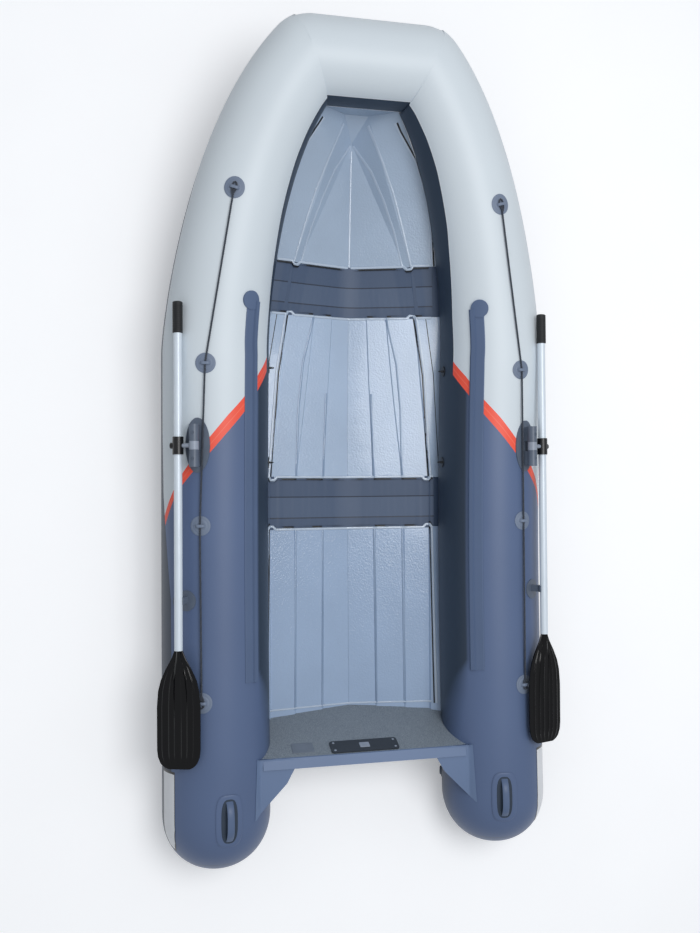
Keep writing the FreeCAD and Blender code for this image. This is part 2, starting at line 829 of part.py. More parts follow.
for name, side in SIDES:
    thick = size("knee_thickness")
    top = transom_top - 4
    corner = on_transom(size("transom_thickness") + clearance + thick * math.sin(rake), 0)
    wide = tube_offset - tube_radius * 0.55
    points = [Vector(side * wide, corner.y, top), Vector(side * (wide - size("knee_width")), corner.y, top),
              Vector(side * wide, corner.y - size("knee_reach"), top)]
    plate = Part.Face(Part.makePolygon(points + [points[0]])).extrude(Vector(0, 0, -thick))
    tube_bore = Part.makeCylinder(tube_radius + clearance, 1200,
                                  Vector(side * tube_offset, 0, size("tube_centre_height")), Y_AXIS)
    solid_part(f"knee_{name}", plate.cut(tube_bore))

# Lifelines

RING_PLACES = ((bow_line - 572, 79), (bend_start - 43, 75), (1465, 70), (731, 71))


def ring_fitting(frame, angle):
    """Round pad with a bar bent over it, across the rope."""
    pad = surface_patch(frame, angle, size("ring_patch_radius"), size("ring_patch_radius"), hull_clearance,
                        size("ring_patch_thickness"))
    normal = frame.radial(angle)
    across = normal.cross(frame.along)
    bar, high, half = size("ring_bar_radius"), size("ring_height") - size("ring_bar_radius"), 15.0
    foot, top = frame.point(angle, 1.5), frame.point(angle, high)
    legs = [cylinder_between(foot + across * spread, top + across * spread, bar * 0.8)
            for spread in (-half, half)]
    over = cylinder_between(top - across * (half + bar * 1.2), top + across * (half + bar * 1.2), bar)
    return merged([pad] + legs + [over])


rope_lift = size("ring_patch_thickness") + hull_clearance + size("rope_radius") + size("rope_play")
knot_radius = size("rope_radius") * 1.75
fittings = Part.makeCompound([ring_fitting(TubeFrame(STARBOARD, y), angle) for y, angle in RING_PLACES])
for name, side in SIDES:
    solid_part(f"lifeline_rings_{name}", on_side(side, fittings))


def lifeline():
    """Taut rope through the four fittings, with a knot past each end one."""
    route = [TubeFrame(STARBOARD, y).point(angle, rope_lift) for y, angle in RING_PLACES]
    knots = []
    for (y, angle), direction in ((RING_PLACES[0], 1), (RING_PLACES[-1], -1)):
        frame = TubeFrame(STARBOARD, y)
        knots.append((frame.point(angle, rope_lift) + frame.along * 8 * direction,
                      frame.point(angle, rope_lift + knot_radius - size("rope_radius")) +
                      frame.along * 22 * direction))
    route = [knots[0][1], knots[0][0]] + route + [knots[1][0], knots[1][1]]
    rope = [cylinder_between(a, b, size("rope_radius")) for a, b in zip(route, route[1:])]
    rope += [Part.makeSphere(size("rope_radius") * 1.1, p) for p in route[1:-1]]
    rope += [Part.makeSphere(knot_radius, p) for p in (route[0], route[-1])]
    return merged(rope)


rope = lifeline()
for name, side in SIDES:
    solid_part(f"lifeline_{name}", on_side(side, rope))

# Grab handles on the tube tails


def strap_arch(frame, angle, length, height, width, thickness):
    """A webbing arch that runs fore and aft."""
    normal = frame.radial(angle)
    across = normal.cross(frame.along)
    half = length / 2

    def arch(span, rise):
        return Part.Arc(Vector(-span, 0, 0), Vector(0, rise, 0), Vector(span, 0, 0)).toShape()

    foot, depth = 14.0, 16.0
    outer, inner = arch(half, height), arch(half - foot, height - thickness)
    edges = [outer, inner]
    for sign in (-1, 1):
        heel, toe = Vector(sign * half, 0, 0), Vector(sign * (half - foot), 0, 0)
        down = Vector(0, -depth, 0)
        edges += [Part.makeLine(heel, heel + down), Part.makeLine(heel + down, toe + down),
                  Part.makeLine(toe + down, toe)]
    face = Part.Face(Part.Wire(Part.__sortEdges__(edges)))
    strap = face.extrude(Vector(0, 0, width))
    strap.translate(Vector(0, 0, -width / 2))
    strap.Placement = Placement(frame.point(angle, 0),
                                Rotation(frame.along, normal, frame.along.cross(normal), "XYZ"))
    return strap


for name, side in SIDES:
    frame = TubeFrame(side, size("handle_position"))
    under = tail_solid(side, cap_front, size("rise_start"), clearance)
    over = tail_solid(side, cap_front, size("rise_start"), clearance + 4)
    pad = oval_prism(frame, size("handle_angle"), size("handle_patch_length") / 2,
                     size("handle_patch_width") / 2, 60).common(over.cut(under))
    arch = strap_arch(frame, size("handle_angle"), size("handle_patch_length") * 0.8,
                      size("handle_height"), size("handle_strap_width"),
                      size("handle_strap_thickness"))
    solid_part(f"handle_{name}", merged([pad, arch.cut(under)]))

# Oarlocks: a pad, two barrel halves on pedestals and the pin that the knuckle turns on

slope = math.radians(size("oar_slope"))
oar_along = Vector(0, math.cos(slope), math.sin(slope))


class LockFrame:
    """Places and directions of one oarlock and its stowed oar."""

    def __init__(self, side):
        self.side = side
        self.tube = TubeFrame(side, bend_start - size("oarlock_setback"))
        self.barrel = self.tube.point(size("oarlock_angle"), size("oarlock_stand_off"))
        dip = math.radians(size("stem_dip_angle"))
        out = Vector(side, 0, 0)
        up = unit(out.cross(oar_along) * side)
        self.stem = unit(out * math.cos(dip) - up * math.sin(dip))
        self.shaft = self.barrel + self.stem * size("stem_length")
        self.out = out
        self.up = up

    def along_shaft(self, distance):
        return self.shaft + oar_along * distance


def barrel_half(lock, start, end):
    origin = lock.barrel + oar_along * start
    half = Part.makeCylinder(size("barrel_radius"), end - start, origin, oar_along)
    normal = lock.tube.radial(size("oarlock_angle"))
    middle = lock.barrel + oar_along * ((start + end) / 2)
    depth = size("oarlock_stand_off") - clearance - 1
    block = Part.makeBox(end - start - 8, 26, depth, Vector(-(end - start - 8) / 2, -13, -depth))
    block.Placement = placed_along(middle, oar_along, unit(normal - oar_along * normal.dot(oar_along)))
    recess = Part.makeCylinder(7, 8, middle + normal * (size("barrel_radius") - 4), normal)
    return half.fuse(block).cut(recess)


for name, side in SIDES:
    lock = LockFrame(side)
    half = size("barrel_length") / 2
    gap = size("knuckle_length") / 2 + size("knuckle_play")
    pad = surface_patch(lock.tube, size("oarlock_angle"), size("oarlock_patch_length") / 2,
                        size("oarlock_patch_width") / 2, hull_clearance,
                        size("oarlock_patch_thickness"))
    pin = Part.makeCylinder(size("hinge_pin_radius"), 2 * gap + 20, lock.barrel - oar_along * (gap + 10),
                            oar_along)
    pieces = [pad, barrel_half(lock, -half, -gap), barrel_half(lock, gap, half), pin]
    trim = lock.tube.raised(150, hull_clearance)
    solid_part(f"oarlock_{name}", merged(pieces).cut(trim))

    knuckle = Part.makeCylinder(size("barrel_radius"), size("knuckle_length"),
                                lock.barrel - oar_along * (size("knuckle_length") / 2), oar_along)
    stem = cylinder_between(lock.barrel, lock.shaft, size("stem_radius"))
    bore = Part.makeCylinder(size("hinge_pin_radius") + size("hinge_pin_play"), 60,
                             lock.barrel - oar_along * 30, oar_along)
    socket = Part.makeCylinder(size("collar_radius") + 0.1, 100, lock.along_shaft(-50), oar_along)
    solid_part(f"oarlock_knuckle_{name}", knuckle.fuse(stem).cut(bore).cut(socket))

# Oars, stowed along the tubes


def oar_cylinder(label, lock, radius, start, length, radius_rule, length_rule):
    """A straight round piece of the oar, bound to the sheet."""
    feature = doc.addObject("Part::Cylinder", label)
    feature.Radius = radius
    feature.Height = length
    feature.setExpression("Radius", radius_rule)
    feature.setExpression("Height", length_rule)
    feature.Placement = Placement(lock.along_shaft(start), Rotation(Z_AXIS, oar_along))
    return keep(feature, label)


for name, side in SIDES:
    lock = LockFrame(side)
    front = size("oar_front_reach")
    grip_start = front - size("grip_length")
    joint = grip_start - size("upper_shaft_length")
    blade_neck = joint - size("lower_shaft_length")
    oar_cylinder(f"oar_grip_{name}", lock, size("grip_radius"), grip_start, size("grip_length"),
                 "Sizes.grip_radius", "Sizes.grip_length")
    oar_cylinder(f"oar_shaft_upper_{name}", lock, size("shaft_radius"), joint,
                 size("upper_shaft_length"), "Sizes.shaft_radius", "Sizes.upper_shaft_length")
    oar_cylinder(f"oar_shaft_lower_{name}", lock, size("shaft_radius"), blade_neck,
                 size("lower_shaft_length"), "Sizes.shaft_radius", "Sizes.lower_shaft_length")
    half = size("collar_length") / 2
    shell = Part.makeCylinder(size("collar_radius"), 2 * half, lock.along_shaft(-half), oar_along)
    hole = Part.makeCylinder(size("shaft_radius") + 0.1, 2 * half + 2, lock.along_shaft(-half - 1), oar_along)
    solid_part(f"oar_collar_{name}", shell.cut(hole))
    nut_base = lock.shaft + lock.stem * (size("collar_radius") - 3)
    nut = Part.makeCylinder(size("nut_radius"), size("nut_height"), nut_base, lock.stem)
    socket = Part.makeCylinder(size("collar_radius") + 0.1, 100, lock.along_shaft(-50), oar_along)
    solid_part(f"oar_nut_{name}", nut.cut(socket))

    width, length = size("blade_width"), size("blade_length")
    blade_outline = [(0, size("shaft_radius")), (-30, width * 0.155), (-77, width * 0.30),
                     (-121, width * 0.41), (-165, width * 0.47), (-230, width * 0.5),
                     (-length + 55, width * 0.49), (-length + 18, width * 0.43), (-length, width * 0.28)]
    ring = [Vector(b, a, 0) for a, b in blade_outline] + [Vector(-b, a, 0) for a, b in reversed(blade_outline)]
    sheet_half = size("blade_thickness") / 2
    blade = Part.Face(Part.makePolygon(ring + [ring[0]])).extrude(Vector(0, 0, 2 * sheet_half))
    blade.translate(Vector(0, 0, -sheet_half))
    rib = Part.makeCone(size("shaft_radius") + 1.5, 5, length - 90, Vector(0, -1, 0), Vector(0, -1, 0))
    blade = merged([blade, rib])
    tilt = math.radians(size("blade_tilt"))
    across = unit(lock.out * math.cos(tilt) - lock.up * math.sin(tilt))
    if side == PORT:
        across = across * -1
    face_up = across.cross(oar_along)
    blade.Placement = Placement(lock.along_shaft(blade_neck) - oar_along * clearance,
                                Rotation(across, oar_along, face_up, "XYZ"))
    solid_part(f"oar_blade_{name}", blade)

# Clips that hold the oar shafts


def clip(lock):
    neck = size("oar_front_reach") - size("grip_length") - size("upper_shaft_length") - size(
        "lower_shaft_length")
    distance = neck + size("clip_setback")
    holder = lock.along_shaft(distance)
    tube = TubeFrame(lock.side, holder.y)
    offset = holder - tube.centre
    angle = math.degrees(math.atan2(offset.dot(tube.up), offset.dot(tube.out)))
    pad = surface_patch(tube, angle, size("clip_patch_radius"), size("clip_patch_radius"), clearance, 3)
    inner = size("shaft_radius") + size("clip_play")
    outer = inner + size("clip_wall")
    half = size("clip_length") / 2
    exit_way = oar_along.cross(lock.stem) * lock.side * -1
    if exit_way.z < 0:
        exit_way = exit_way * -1
    start = lock.along_shaft(distance - half)
    saddle = Part.makeCylinder(outer, 2 * half, start, oar_along)
    bore = Part.makeCylinder(inner, 2 * half + 2, lock.along_shaft(distance - half - 1), oar_along)
    mouth = Part.makeBox(2 * outer + 4, 2 * half + 2, outer + 4, Vector(-outer - 2, -half - 1, 0))
    mouth.Placement = Placement(holder, Rotation(oar_along.cross(exit_way), oar_along, exit_way, "XYZ"))
    foot = Part.makeBox(2 * half, 22, 80, Vector(-half, -11, -80))
    foot.Placement = placed_along(holder, oar_along, tube.radial(angle))
    trim = tube.raised(80, clearance)
    return merged([pad, saddle.fuse(foot).cut(bore).cut(mouth)]).cut(trim)


for name, side in SIDES:
    solid_part(f"oar_clip_{name}", clip(LockFrame(side)))

# Tie rings on the inner faces of the tubes

rings = []
for name, side in SIDES:
    for y in (size("tie_ring_front"), size("tie_ring_aft")):
        frame = TubeFrame(side, y)
        angle = size("tie_ring_angle")
        pad = surface_patch(frame, angle, 24, 18, hull_clearance, 3)
        ring = Part.makeTorus(13, 3, frame.point(angle, clearance + 3 + 5), frame.along)
        post = Part.makeCylinder(5, 10, frame.point(angle, hull_clearance + 1), frame.radial(angle))
        rings.append(merged([pad, ring, post]).cut(frame.raised(45, hull_clearance)))
solid_part("tie_rings", Part.makeCompound(rings))

# Air valves low on the inner faces of the tails, out of sight from above

valves = []
for name, side in SIDES:
    frame = TubeFrame(side, tail + size("valve_position") * 0.4)
    seat = frame.point(size("valve_angle"), clearance)
    normal = frame.radial(size("valve_angle"))
    flange = surface_patch(frame, size("valve_angle"), size("valve_radius"), size("valve_radius"),
                           clearance, 3)
    cap = Part.makeCylinder(size("valve_radius") * 0.66, 9, frame.point(size("valve_angle"), 0.5), normal)
    trim = frame.raised(50, clearance)
    valves.append(merged([flange, cap.cut(trim)]))
solid_part("air_valves", Part.makeCompound(valves))

# Towing eye under the bow

bow_frame = BowFrame(0.0)
eye_angle = -60.0
eye_pad = surface_patch(bow_frame, eye_angle, 34, 50, clearance, 4)
eye_ring = Part.makeTorus(size("towing_eye_radius") + size("towing_eye_bar"), size("towing_eye_bar"),
                          bow_frame.point(eye_angle, 24), X_AXIS)
eye_trim = Part.makeCylinder(bow_radius + clearance, 400, Vector(-200, bow_line, bow_height), X_AXIS)
solid_part("towing_eye", merged([eye_pad, eye_ring]).cut(eye_trim))

# Drain plug through the transom, beside the keel

drain_foot = transom_foot + transom_up * 62 + transom_aft * (size("transom_thickness") + clearance)
drain = Part.makeCylinder(size("drain_radius"), 10, drain_foot + Vector(size("drain_offset"), 0, 0),
                          transom_aft)
solid_part("drain_plug", drain)

doc.recompute()
for obj in doc.Objects:
    if "Invalid" in obj.State or "Error" in obj.State:
        raise RuntimeError(f"{obj.Label} did not compute")
for obj in parts:
    if obj.Shape.isNull() or not obj.Shape.isValid():
        raise RuntimeError(f"{obj.Label} has no sound shape")
for obj in parts:
    obj.Shape.exportStep(f"parts/{obj.Label}.step")
    print(obj.Label, len(obj.Shape.Solids), round(obj.Shape.Volume / 1e6, 4))
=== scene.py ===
import bpy
import math
from mathutils import Matrix, Vector
from mathutils.bvhtree import BVHTree


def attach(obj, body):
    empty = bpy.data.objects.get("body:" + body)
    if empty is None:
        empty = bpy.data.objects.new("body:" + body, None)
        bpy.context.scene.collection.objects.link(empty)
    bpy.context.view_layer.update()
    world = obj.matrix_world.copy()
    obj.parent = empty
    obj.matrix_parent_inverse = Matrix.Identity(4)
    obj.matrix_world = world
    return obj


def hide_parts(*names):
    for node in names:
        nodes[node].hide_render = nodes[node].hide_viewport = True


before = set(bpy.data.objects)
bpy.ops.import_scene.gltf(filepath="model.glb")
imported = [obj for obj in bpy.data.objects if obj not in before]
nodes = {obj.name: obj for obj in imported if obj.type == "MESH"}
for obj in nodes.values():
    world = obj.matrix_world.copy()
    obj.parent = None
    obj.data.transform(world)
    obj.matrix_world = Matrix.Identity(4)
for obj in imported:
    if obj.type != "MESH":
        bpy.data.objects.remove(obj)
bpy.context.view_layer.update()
SIDES = (("port", -1), ("starboard", 1))

# Camera, above the boat and a little to port
camera_data = bpy.data.cameras.new("view_camera")
camera_data.sensor_width = 36.0
camera_data.lens = 36.467
camera_data.shift_x = -0.0014
camera_data.shift_y = -0.0032
camera_data.clip_end = 100.0
camera = bpy.data.objects.new("view_camera", camera_data)
bpy.context.scene.collection.objects.link(camera)
camera_turn = Matrix(((0.9737, 0.0020, -0.2278), (-0.0132, 0.9988, -0.0476), (0.2274, 0.0494, 0.9725)))
camera.rotation_euler = camera_turn.to_euler()
camera.location = (-0.989, 1.517, 4.327)
bpy.context.scene.camera = camera


# Shaders

def tone(red, green, blue):
    """A colour as it looks on screen, turned to the linear values that shaders take."""
    def linear(value):
        value /= 255.0
        return value / 12.92 if value <= 0.04045 else ((value + 0.055) / 1.055) ** 2.4
    return (linear(red), linear(green), linear(blue), 1.0)


class Shader:
    """A node material with short calls for making and joining nodes."""

    def __init__(self, name, colour, roughness, **sockets):
        self.material = bpy.data.materials.new(name)
        self.material.use_nodes = True
        self.tree = self.material.node_tree
        self.surface = self.tree.nodes["Principled BSDF"]
        self.surface.inputs["Base Color"].default_value = colour
        self.surface.inputs["Roughness"].default_value = roughness
        for socket, value in sockets.items():
            self.surface.inputs[socket.replace("_", " ")].default_value = value
        self.material.diffuse_color = colour
        self.place = None
        self.relief = None

    def node(self, kind, **settings):
        made = self.tree.nodes.new("ShaderNode" + kind)
        for key, value in settings.items():
            setattr(made, key, value)
        return made

    def join(self, source, target):
        self.tree.links.new(source, target)

    def position(self):
        if self.place is None:
            self.place = self.node("TexCoord").outputs["Object"]
        return self.place

    def stretched(self, scale):
        mapping = self.node("Mapping")
        mapping.inputs["Scale"].default_value = scale
        self.join(self.position(), mapping.inputs["Vector"])
        return mapping.outputs["Vector"]

    def noise(self, scale, detail=3.0, stretch=(1, 1, 1)):
        made = self.node("TexNoise")
        made.inputs["Scale"].default_value = scale
        made.inputs["Detail"].default_value = detail
        self.join(self.stretched(stretch), made.inputs["Vector"])
        return made.outputs["Fac"]

    def math(self, operation, first, second=None):
        made = self.node("Math", operation=operation)
        for slot, value in enumerate((first, second)):
            if value is None:
                continue
            if isinstance(value, (int, float)):
                made.inputs[slot].default_value = value
            else:
                self.join(value, made.inputs[slot])
        return made.outputs["Value"]

    def attribute(self, name):
        return self.node("Attribute", attribute_name=name).outputs["Fac"]

    def remap(self, value, low, high):
        """From 0 at the low value to 1 at the high one."""
        made = self.node("MapRange")
        made.inputs["From Min"].default_value = low
        made.inputs["From Max"].default_value = high
        self.join(value, made.inputs["Value"])
        return made.outputs["Result"]

    def mix(self, share, first, second):
        made = self.node("Mix", data_type="RGBA")
        for slot, value in ((0, share), (6, first), (7, second)):
            if isinstance(value, (int, float, tuple)):
                made.inputs[slot].default_value = value
            else:
                self.join(value, made.inputs[slot])
        return made.outputs[2]

    def colour(self, value):
        self.join(value, self.surface.inputs["Base Color"])

    def bump(self, height, distance, strength=1.0):
        made = self.node("Bump")
        made.inputs["Distance"].default_value = distance
        made.inputs["Strength"].default_value = strength
        self.join(height, made.inputs["Height"])
        if self.relief is not None:
            self.join(self.relief, made.inputs["Normal"])
        self.relief = made.outputs["Normal"]
        self.join(self.relief, self.surface.inputs["Normal"])


def mottled(shader, colour, scale=2.5, depth=0.05):
    """The colour with slow, faint lighter and darker areas."""
    dark = tuple(c * (1 - depth) for c in colour[:3]) + (1.0,)
    light = tuple(min(1.0, c * (1 + depth)) for c in colour[:3]) + (1.0,)
    return shader.mix(shader.remap(shader.noise(scale), 0.3, 0.7), dark, light)


def fabric(name, colour, roughness=0.45):
    """Coated boat fabric with the print of its weave."""
    shader = Shader(name, colour, roughness, IOR=1.45)
    shader.colour(mottled(shader, colour))
    shader.bump(shader.noise(700.0, 1.0), 0.0004, 0.25)
    shader.bump(shader.noise(9.0, 2.0), 0.004, 0.12)
    return shader


def plastic(name, colour, roughness=0.35, grain=900.0):
    shader = Shader(name, colour, roughness)
    shader.colour(mottled(shader, colour, 14.0, 0.10))
    shader.bump(shader.noise(grain, 2.0), 0.0003, 0.2)
    return shader


PALE = tone(216, 225, 232)
SLATE = tone(89, 107, 142)
NAVY = tone(48, 61, 78)
FLAME = tone(250, 92, 70)
FLAME_LIGHT = tone(252, 122, 98)

slate_fabric = fabric("slate_fabric", SLATE)
knee_fabric = fabric("knee_fabric", tone(106, 126, 160))
pad_fabric = fabric("pad_fabric", tone(118, 131, 153), 0.5)
# Navy fabric used as painted shade in the grab handles' slot under the strap
grab_slot_painted_shade = fabric("grab_slot_painted_shade", NAVY)
strake_rubber = fabric("strake_rubber", tone(46, 54, 68), 0.5)
rail_rubber = fabric("rail_rubber", tone(88, 106, 138), 0.42)
black_plastic = plastic("black_plastic", tone(22, 23, 26), 0.3)
grey_plastic = plastic("grey_plastic", tone(92, 103, 120), 0.4)
light_plastic = plastic("light_plastic", tone(150, 160, 176), 0.4)
pad_plastic = plastic("pad_plastic", tone(52, 57, 64), 0.4)
grip_rubber = plastic("grip_rubber", tone(28, 30, 33), 0.6, 500.0)


def tube_fabric():
    """Pale forward and slate aft panels, the flame band between them and the dark lower panels, with
    painted shade on the inner side of the tails and on their outboard side aft.
    """
    shader = Shader("tube_fabric", PALE, 0.42, IOR=1.45)
    ahead, behind = shader.attribute("band_front"), shader.attribute("band_aft")
    seam, navy = shader.attribute("seam"), mottled(shader, NAVY, 2.0, 0.08)
    upper = mottled(shader, PALE, 1.8, 0.02)
    lower = mottled(shader, SLATE, 1.8, 0.05)
    forward = shader.math("GREATER_THAN", behind, 0.0)
    inner = shader.math("SUBTRACT", shader.attribute("inner_panel"), shader.math("SUBTRACT", 1.0, forward))
    # Outer dark panel, widened aft by painted shade on the tails' outboard side
    dark = shader.math("MAXIMUM", inner, shader.attribute("outer_panel_and_shade"))
    middle = shader.math("ADD", ahead, behind)
    line = shader.math("LESS_THAN", shader.math("ABSOLUTE", middle), 0.004)
    flame = shader.mix(line, FLAME, FLAME_LIGHT)
    # Painted shade: navy fading over the inner side of the tails
    base = shader.mix(shader.attribute("rear_painted_shade"), lower, navy)
    base = shader.mix(forward, base, flame)
    base = shader.mix(shader.math("GREATER_THAN", ahead, 0.0), base, upper)
    base = shader.mix(shader.math("GREATER_THAN", dark, 0.0), base, navy)
    rim = shader.math("LESS_THAN", shader.math("ABSOLUTE", shader.math("ADD", dark, 0.002)), 0.002)
    rim = shader.math("MULTIPLY", rim, shader.math("GREATER_THAN", ahead, 0.0))
    base = shader.mix(shader.math("MULTIPLY", rim, 0.7), base, tone(236, 241, 246))
    glue = shader.math("LESS_THAN", shader.math("ABSOLUTE", seam), 0.0022)
    base = shader.mix(shader.math("MULTIPLY", glue, 0.45), base, (0.05, 0.06, 0.08, 1.0))
    shader.colour(base)
    step = shader.remap(dark, -0.001, 0.001)
    shader.bump(step, 0.0008, 0.6)
    shader.bump(shader.remap(seam, -0.001, 0.001), 0.0008, 0.6)
    shader.bump(shader.noise(700.0, 1.0), 0.0004, 0.2)
    shader.bump(shader.noise(5.0, 2.0), 0.006, 0.10)
    return shader.material


def cover_fabric():
    """Dark cover with a lighter middle band between two seams."""
    colour = tone(68, 86, 114)
    shader = Shader("joint_cover", colour, 0.5)
    gap = shader.attribute("seam_gap")
    inside = shader.mix(shader.math("LESS_THAN", gap, 0.0), mottled(shader, colour), tone(76, 94, 122))
    stitch = shader.math("LESS_THAN", shader.math("ABSOLUTE", gap), 0.0028)
    shader.colour(shader.mix(stitch, inside, tone(44, 55, 74)))
    shader.bump(shader.remap(gap, -0.002, 0.002), 0.001, 0.7)
    shader.bump(shader.noise(700.0, 1.0), 0.0004, 0.25)
    return shader


def gelcoat(name, colour):
    """Glossy moulded resin with the fine peel of a sprayed inside face."""
    shader = Shader(name, colour, 0.16, Coat_Weight=0.4, Coat_Roughness=0.06)
    shader.colour(mottled(shader, colour, 3.0, 0.05))
    shader.bump(shader.noise(120.0, 2.0), 0.0022, 0.55)
    shader.bump(shader.noise(12.0, 2.0), 0.003, 0.15)
    return shader.material


def transom_finish():
    """Grey speckled board."""
    colour = tone(117, 126, 138)
    shader = Shader("transom_finish", colour, 0.42)
    speck = shader.remap(shader.noise(420.0, 2.0), 0.42, 0.6)
    shader.colour(shader.mix(speck, tone(110, 120, 130), tone(150, 160, 170)))
    shader.bump(shader.noise(420.0, 2.0), 0.0005, 0.3)
    return shader.material


def anodised():
    shader = Shader("anodised_tube", tone(222, 232, 242), 0.34, Metallic=0.1)
    grain = shader.noise(60.0, 2.0, (6, 0.15, 6))
    shader.colour(shader.mix(shader.remap(grain, 0.3, 0.7), tone(214, 225, 236), tone(226, 236, 246)))
    shader.bump(grain, 0.0002, 0.15)
    return shader.material


def rope_finish():
    shader = Shader("rope_finish", tone(42, 49, 60), 0.8, Sheen_Weight=0.3)
    fibres = shader.remap(shader.noise(600.0, 2.0), 0.35, 0.65)
    shader.colour(shader.mix(fibres, tone(30, 35, 44), tone(66, 75, 90)))
    shader.bump(shader.noise(1500.0, 2.0), 0.0006, 0.5)
    return shader.material


def steel():
    shader = Shader("polished_steel", tone(190, 194, 200), 0.2, Metallic=1.0)
    shader.bump(shader.noise(300.0, 2.0), 0.0001, 0.2)
    return shader.material


def label_finish():
    shader = Shader("label_finish", tone(226, 229, 234), 0.3)
    edge = shader.attribute("edge_gap")
    rim = shader.math("LESS_THAN", edge, 0.006)
    shader.colour(shader.mix(rim, mottled(shader, tone(226, 229, 234), 6.0, 0.03), tone(20, 22, 26)))
    shader.bump(shader.noise(300.0, 1.0), 0.0002, 0.2)
    return shader.material


tube_skin = tube_fabric()
bow_resin = gelcoat("bow_gelcoat", tone(170, 188, 210))
mid_resin = gelcoat("mid_gelcoat", tone(174, 194, 220))
stern_resin = gelcoat("stern_gelcoat", tone(162, 184, 214))
# Darker resin on strake and keel beads: painted shade along the steps
strake_resin_painted_shade = gelcoat("strake_gelcoat_painted_shade", tone(148, 169, 198))
# Lighter resin on lips, ridges and beads: painted highlight where edges catch the light
edge_resin_painted_highlight = gelcoat("edge_gelcoat_painted_highlight", tone(190, 205, 224))
joint_cloth = cover_fabric()
cover_base = fabric("cover_base", tone(68, 86, 114), 0.5)
# Near-black plastic for painted shadow lines along grooves, gaps and lip edges
groove_painted_shadow = plastic("groove_painted_shadow", tone(26, 30, 38), 0.4)
board = transom_finish()
plate_finish = plastic("plate_finish", tone(118, 128, 142), 0.35)
blade_gloss = plastic("blade_gloss", tone(7, 7, 10), 0.14, 200.0)
blade_gloss.surface.inputs["Specular IOR Level"].default_value = 0.3
metal_tube = anodised()
rope_yarn = rope_finish()
bright_steel = steel()
label_face = label_finish()


# Tube geometry, in metres

TUBE_R, BOW_R = 0.230, 0.178
OFFSET, BASE_Z, BOW_Y = 0.630, 0.170, 3.422
BEND_Y, RISE_Y, BOW_RISE = 2.188, 0.946, 0.304
TAIL, TAIL_FULLNESS = 0.236, 2.1
CORNER_X, BOW_TURN = 0.256, math.radians(49)
LEAD_IN, LEAD_OUT = 0.100, 0.490
BEND = ((OFFSET, BEND_Y), (OFFSET, BEND_Y + LEAD_IN),
        (CORNER_X + LEAD_OUT * math.cos(BOW_TURN), BOW_Y - LEAD_OUT * math.sin(BOW_TURN)),
        (CORNER_X, BOW_Y))
BOW_Z = BASE_Z + BOW_RISE


def between(knots, x):
    """Straight-line reading of a short list of (place, value) knots."""
    if x <= knots[0][0]:
        return knots[0][1]
    for (x0, v0), (x1, v1) in zip(knots, knots[1:]):
        if x <= x1:
            return v0 + (v1 - v0) * (x - x0) / (x1 - x0)
    return knots[-1][1]


def bend_place(share):
    weights = ((1 - share) ** 3, 3 * (1 - share) ** 2 * share, 3 * (1 - share) * share ** 2, share ** 3)
    return (sum(w * p[0] for w, p in zip(weights, BEND)), sum(w * p[1] for w, p in zip(weights, BEND)))


def centre_x(y):
    if y <= BEND_Y:
        return OFFSET
    low, high = 0.0, 1.0
    for _ in range(30):
        middle = (low + high) / 2
        if bend_place(middle)[1] < y:
            low = middle
        else:
            high = middle
    return bend_place(low)[0]


def centre_z(y):
    return BASE_Z + BOW_RISE * max(0.0, (y - RISE_Y) / (BOW_Y - RISE_Y)) ** 2


class Ring:
    """Centre, directions and radius of a side tube at a station."""

    def __init__(self, side, y):
        past = max(0.0, y - BOW_Y)
        at = y - past
        step = 0.001
        lean = (centre_x(at) - centre_x(at - step)) / step
        climb = (centre_z(at) - centre_z(at - step)) / step
        self.along = Vector((side * lean, 1, climb)).normalized()
        self.centre = Vector((side * centre_x(at), at, centre_z(at))) + self.along * (past / self.along.y)
        self.out = Vector((side, -lean, 0)).normalized()
        self.up = self.out.cross(self.along) * side
        self.radius = TUBE_R + (BOW_R - TUBE_R) * min(1.0, max(0.0, (at - BEND_Y) / (BOW_Y - BEND_Y)))
        if y < TAIL:
            share = (1 - max(0.0, y) / TAIL) ** TAIL_FULLNESS
            self.radius = TUBE_R * (1 - share) ** (1 / TAIL_FULLNESS)

    def radial(self, angle):
        turn = math.radians(angle)
        return self.out * math.cos(turn) + self.up * math.sin(turn)

    def point(self, angle, height=0.0):
        return self.centre + self.radial(angle) * (self.radius + height)


ring_store = {}


def ring(side, y):
    key = (side, round(y, 5))
    if key not in ring_store:
        ring_store[key] = Ring(side, y)
    return ring_store[key]


def on_tube(side, y, angle, along, around, height):
    """Point of the tube's skin at distances along and around from a place on it."""
    here = ring(side, y + along)
    return here.point(angle + math.degrees(around / max(here.radius, 0.05)), height)


# Mesh making

